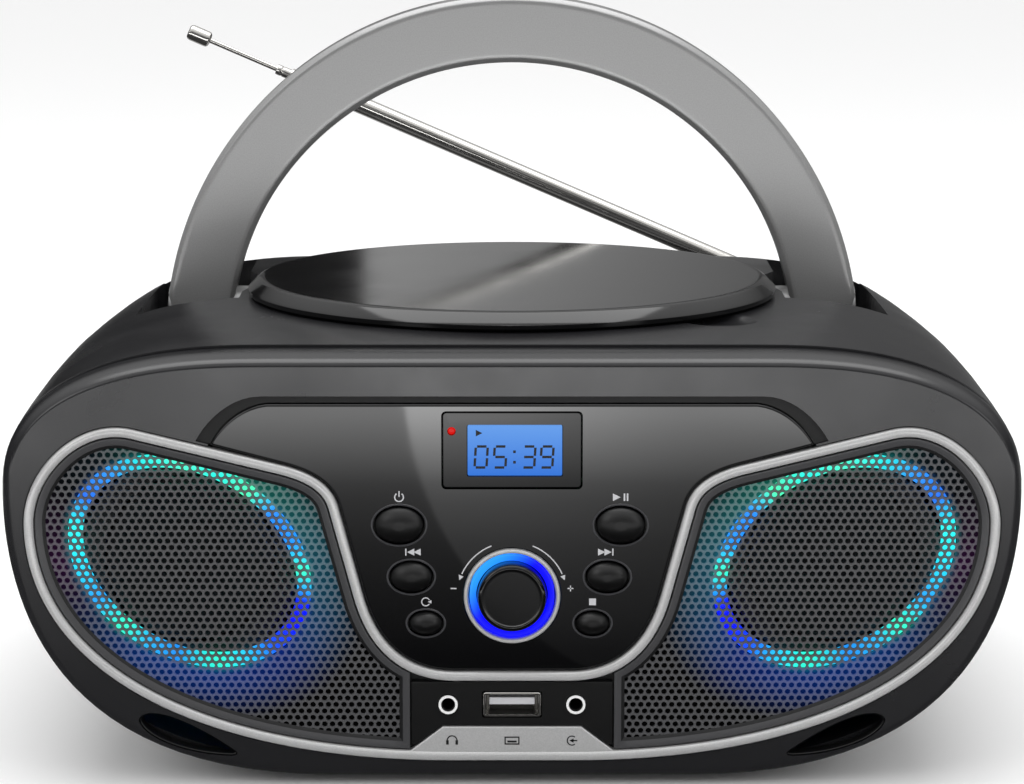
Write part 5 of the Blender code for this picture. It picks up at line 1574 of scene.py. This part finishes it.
def antenna():
    base = Vector(middle_of("antenna_pin"))
    tip = span_of("antenna_tip")
    rest = math.radians(23.3)
    along = Vector((-math.cos(rest), 0.0, math.sin(rest)))
    tilt = Vector((math.sin(rest), 0.0, math.cos(rest)))
    back = Vector((0.0, 1.0, 0.0))
    turn = Matrix((tilt, back, along)).transposed()

    def fitted(low, high, corner=0.0):
        """A block in the antenna's own directions."""
        corners = rectangle(low[0], low[1], high[0], high[1], corner)
        return skin([[base + turn @ Vector((x, y, z)) for x, y in corners] for z in (low[2], high[2])])

    disc = [(0, 0), (2.5, 0), (2.5, 7.3), (5.0, 7.3), (5.2, 7.5), (5.2, 8.1), (4.8, 8.5), (0, 8.5)]
    cheeks = []
    for side in (-1, 1):
        low, high = sorted((side * 1.3, side * 3.0))
        cheeks.append(fitted((low, DEPTH + 1.2 - base.y, -3.0), (high, 3.0, 3.0), 0.5))
    hole = rod(1.2, tuple(base - tilt * 5), tuple(tilt), 10, 32)
    piece("antenna_turret", turned(disc, (base.x, DEPTH - 7, base.z), (0, 1, 0), 56), "etched_abs",
          "antenna_base", ("antenna_swivel",), joins=cheeks, cuts=[hole])
    rivet = [(0, 0), (0.7, 0), (0.9, 0.2), (0.9, 6.4), (0.7, 6.6), (0, 6.6)]
    piece("antenna_rivet", turned(rivet, tuple(base - tilt * 3.3), tuple(tilt), 32), "nickel_plate",
          "antenna_base", ("antenna_pin",))
    sections = {"antenna_tube": (2.6, 9.0, 156.0, "antenna_mast"),
                "antenna_section_2": (2.05, 18.0, 165.0, "antenna_stage_2"),
                "antenna_section_3": (1.55, 26.0, 169.5, "antenna_stage_3")}
    for name, (radius, start, end, body) in sections.items():
        bore = radius - 0.4
        profile = [(0, start), (radius - 0.2, start), (radius, start + 0.2), (radius, end - 2.2),
                   (radius - 0.12, end - 2.0), (radius - 0.12, end - 1.7), (radius, end - 1.5),
                   (radius, end - 0.25),
                   (radius - 0.15, end), (bore, end), (bore, start + 4), (0, start + 4)]
        joins, cuts = [], []
        if name == "antenna_tube":
            joins = [rod(2.3, tuple(base - tilt), tuple(tilt), 2.0, 40),
                     fitted((-1.0, -2.0, 0.0), (1.0, 2.0, start + 1.0))]
            cuts = [rod(1.2, tuple(base - tilt * 3), tuple(tilt), 6, 32)]
        piece(name.replace("antenna_", "mast_"), turned(profile, tuple(base), tuple(along), 40),
              "nickel_plate",
              body, (name,), joins=joins, cuts=cuts)
    cap_end = (base.x - tip[0][0] - 2.35 * math.sin(rest)) / math.cos(rest)
    end = round(cap_end, 1) - 7.0
    cap = [(0, 54.0), (0.75, 54.0), (0.75, end), (1.7, end + 0.2), (2.2, end + 0.6), (2.35, end + 1.2),
           (2.35, end + 5.9), (2.15, end + 6.6), (1.6, end + 7.0), (0, end + 7.0)]
    piece("mast_tip", turned(cap, tuple(base), tuple(along), 40), "nickel_plate", "antenna_rod",
          ("antenna_tip",))


def inner_finishes():
    """Finishes for the inner parts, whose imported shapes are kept."""
    kept = {"battery_box": "etched_abs", "control_board": "board", "main_board": "board",
            "guide_rod": "turned_steel", "laser_sled": "etched_abs", "spindle_motor": "turned_steel",
            "transformer": "turned_steel"}
    for name, paint in kept.items():
        obj = bpy.data.objects[name]
        obj.data.materials.clear()
        obj.data.materials.append(finish(paint))


# Stage.


# The camera, in millimetres of lens, metres in front of the object and above the floor, and degrees down.
CAMERA_LENS = 128.0
CAMERA_AWAY = 0.8692
CAMERA_HEIGHT = 0.2494
CAMERA_TIP = 9.83
STUDIO_LEVEL = 0.95
SWEEP_RADIUS = 0.6


def stage():
    """A white sweep, a soft top light, two side lights, a world whose glossy rays see a painted reflection
    dome, and the camera.
    """
    floor = bmesh.new()
    width, near, far, rise = 7.0, -7.0, 6.4, 2.4
    profile = [(near, 0.0), (far, 0.0)]
    for step in range(1, 11):
        angle = math.radians(9 * step)
        profile.append((far + SWEEP_RADIUS * math.sin(angle), SWEEP_RADIUS - SWEEP_RADIUS * math.cos(angle)))
    profile.append((far + SWEEP_RADIUS, rise))
    rows = [[floor.verts.new((x, y, z)) for x in (-width, width)] for y, z in profile]
    for low, high in zip(rows, rows[1:]):
        floor.faces.new((low[0], low[1], high[1], high[0]))
    mesh = bpy.data.meshes.new("studio_sweep")
    floor.to_mesh(mesh)
    floor.free()
    mesh.shade_smooth()
    sweep = bpy.data.objects.new("studio_sweep", mesh)
    bpy.context.scene.collection.objects.link(sweep)
    mesh.materials.append(finish("studio_paper"))

    world = bpy.data.worlds.new("studio")
    bpy.context.scene.world = world
    world.use_nodes = True
    tree = world.node_tree
    sky = tree.nodes["Background"]
    # Glossy rays alone see a painted reflection dome, dark low down and bright overhead; every other ray sees
    # the even studio level.
    direction = add_node(tree, "ShaderNodeTexCoord").outputs["Generated"]
    apart = add_node(tree, "ShaderNodeSeparateXYZ", None, {"Vector": direction})
    painted_reflection_dome = add_node(tree, "ShaderNodeMapRange", {"interpolation_type": "SMOOTHSTEP", "From Min": 0.1,
                                                 "From Max": 0.95, "To Min": 0.05, "To Max": 1.1},
                    {"Value": apart.outputs["Z"]})
    seen = add_node(tree, "ShaderNodeLightPath")
    level = add_node(tree, "ShaderNodeMix", {"data_type": "FLOAT", 2: STUDIO_LEVEL},
                     {0: seen.outputs["Is Glossy Ray"], 3: painted_reflection_dome.outputs["Result"]})
    tree.links.new(level.outputs[0], sky.inputs["Strength"])
    sky.inputs["Color"].default_value = (1.0, 1.0, 1.0, 1.0)

    lights = {"top_softbox": ((0.0, 0.1, 1.3), (0.0, 0.0, 0.1), 1.4, 0.8, 9.0),
              "front_left_softbox": ((-1.1, -1.2, 0.9), (0.0, 0.0, 0.08), 0.5, 0.8, 3.0),
              "front_right_softbox": ((1.2, -1.1, 0.7), (0.0, 0.0, 0.08), 0.5, 0.8, 2.0)}
    for name, (where, aim, across, along, power) in lights.items():
        lamp = bpy.data.lights.new(name, "AREA")
        lamp.shape = "RECTANGLE"
        lamp.size = across
        lamp.size_y = along
        lamp.energy = power
        holder = bpy.data.objects.new(name, lamp)
        holder.location = where
        holder.rotation_euler = (Vector(aim) - Vector(where)).to_track_quat("-Z", "Y").to_euler()
        bpy.context.scene.collection.objects.link(holder)

    lens = bpy.data.cameras.new("studio_camera")
    lens.lens = CAMERA_LENS
    lens.sensor_width = 36.0
    holder = bpy.data.objects.new("studio_camera", lens)
    holder.location = (0.0, FRONT_Y - CAMERA_AWAY, CAMERA_HEIGHT)
    holder.rotation_euler = (math.radians(90 - CAMERA_TIP), 0.0, 0.0)
    bpy.context.scene.collection.objects.link(holder)
    bpy.context.scene.camera = holder
    bpy.context.scene.view_settings.view_transform = "Standard"


# The add-on.


class BoomboxSettings(bpy.types.PropertyGroup):
    """Sizes and colours that a user may change."""

    grille_pitch: FloatProperty(name="Grille pitch", description="Distance between neighbouring holes",
                                default=0.0019, min=0.001, unit="LENGTH")
    grille_hole: FloatProperty(name="Grille hole", description="Diameter of each hole in the grilles",
                               default=0.00135, min=0.0004, unit="LENGTH")
    lamp_strength: FloatProperty(name="Lamp strength", description="Brightness of the lit ovals",
                                 default=1.3, min=0.0)
    # Strength of the painted spill glow on the grilles and felt.
    painted_spill_strength: FloatProperty(name="Lamp spill", description="Light that the lamps cast on the grilles",
                              default=1.0, min=0.0)
    lcd_blue: FloatVectorProperty(name="Screen blue", description="The display's backlight", subtype="COLOR",
                                  size=3, default=linear("#1c72e0")[:3], min=0.0, max=1.0)


class BOOMBOX_OT_cabinet(bpy.types.Operator):
    """Makes the front and rear shells, with the port lips beside the speakers"""
    bl_idname = "boombox.cabinet"
    bl_label = "Cabinet shells"

    def execute(self, context):
        front_shell()
        rear_shell()
        for side, _ in both_sides():
            vent(side)
        return {"FINISHED"}


class BOOMBOX_OT_trim(bpy.types.Operator):
    """Makes the bright loop and the graphite bezels inside it"""
    bl_idname = "boombox.trim"
    bl_label = "Trim and bezels"

    def execute(self, context):
        trim()
        for side, _ in both_sides():
            grille_bezel(side)
        return {"FINISHED"}


class BOOMBOX_OT_speakers(bpy.types.Operator):
    """Makes the speakers, their lit ovals and the perforated grilles"""
    bl_idname = "boombox.speakers"
    bl_label = "Speakers and grilles"

    def execute(self, context):
        for side, sign in both_sides():
            driver(side, sign)
            lit_oval(side, sign)
            grille(side)
        return {"FINISHED"}


class BOOMBOX_OT_controls(bpy.types.Operator):
    """Makes the control fascia, keys, volume control, display and printed symbols"""
    bl_idname = "boombox.controls"
    bl_label = "Controls and display"

    def execute(self, context):
        fascia()
        for name, body in KEYS.items():
            key(name, body)
        volume()
        display()
        key_marks()
        return {"FINISHED"}


class BOOMBOX_OT_sockets(bpy.types.Operator):
    """Makes the socket panel, the jacks and the bus socket"""
    bl_idname = "boombox.sockets"
    bl_label = "Sockets"

    def execute(self, context):
        sockets()
        return {"FINISHED"}


class BOOMBOX_OT_deck(bpy.types.Operator):
    """Makes the disc basin, the spindle and the hinged lid"""
    bl_idname = "boombox.deck"
    bl_label = "Disc deck and lid"

    def execute(self, context):
        disc_deck()
        lid()
        return {"FINISHED"}


class BOOMBOX_OT_handle(bpy.types.Operator):
    """Makes the carrying handle and its pivots"""
    bl_idname = "boombox.handle"
    bl_label = "Carrying handle"

    def execute(self, context):
        handle()
        return {"FINISHED"}


class BOOMBOX_OT_antenna(bpy.types.Operator):
    """Makes the telescopic antenna and its turret"""
    bl_idname = "boombox.antenna"
    bl_label = "Antenna"

    def execute(self, context):
        antenna()
        return {"FINISHED"}


class BOOMBOX_OT_back(bpy.types.Operator):
    """Makes the battery cover, mains socket, screws, feet and the finishes of the inner parts"""
    bl_idname = "boombox.back"
    bl_label = "Back and underside"

    def execute(self, context):
        battery_cover()
        mains_socket()
        rear_screws()
        feet()
        inner_finishes()
        return {"FINISHED"}


class BOOMBOX_OT_stage(bpy.types.Operator):
    """Makes the studio floor, lights and camera"""
    bl_idname = "boombox.stage"
    bl_label = "Studio stage"

    def execute(self, context):
        stage()
        return {"FINISHED"}


OPERATORS = (BOOMBOX_OT_stage, BOOMBOX_OT_cabinet, BOOMBOX_OT_trim, BOOMBOX_OT_speakers, BOOMBOX_OT_controls,
             BOOMBOX_OT_sockets, BOOMBOX_OT_deck, BOOMBOX_OT_handle, BOOMBOX_OT_antenna, BOOMBOX_OT_back)


class BOOMBOX_PT_panel(bpy.types.Panel):
    """Lists the boombox's settings and the steps that make it"""
    bl_idname = "BOOMBOX_PT_panel"
    bl_label = "Boombox"
    bl_space_type = "VIEW_3D"
    bl_region_type = "UI"
    bl_category = "Boombox"

    def draw(self, context):
        for name in BoomboxSettings.__annotations__:
            self.layout.prop(context.scene.boombox, name)
        for operator in OPERATORS:
            self.layout.operator(operator.bl_idname)


def register():
    for kind in (BoomboxSettings, *OPERATORS, BOOMBOX_PT_panel):
        bpy.utils.register_class(kind)
    bpy.types.Scene.boombox = PointerProperty(type=BoomboxSettings)


def unregister():
    del bpy.types.Scene.boombox
    for kind in (BOOMBOX_PT_panel, *reversed(OPERATORS), BoomboxSettings):
        bpy.utils.unregister_class(kind)


def main():
    register()
    for operator in OPERATORS:
        group, name = operator.bl_idname.split(".")
        getattr(getattr(bpy.ops, group), name)()


if __name__ == "__main__":
    main()
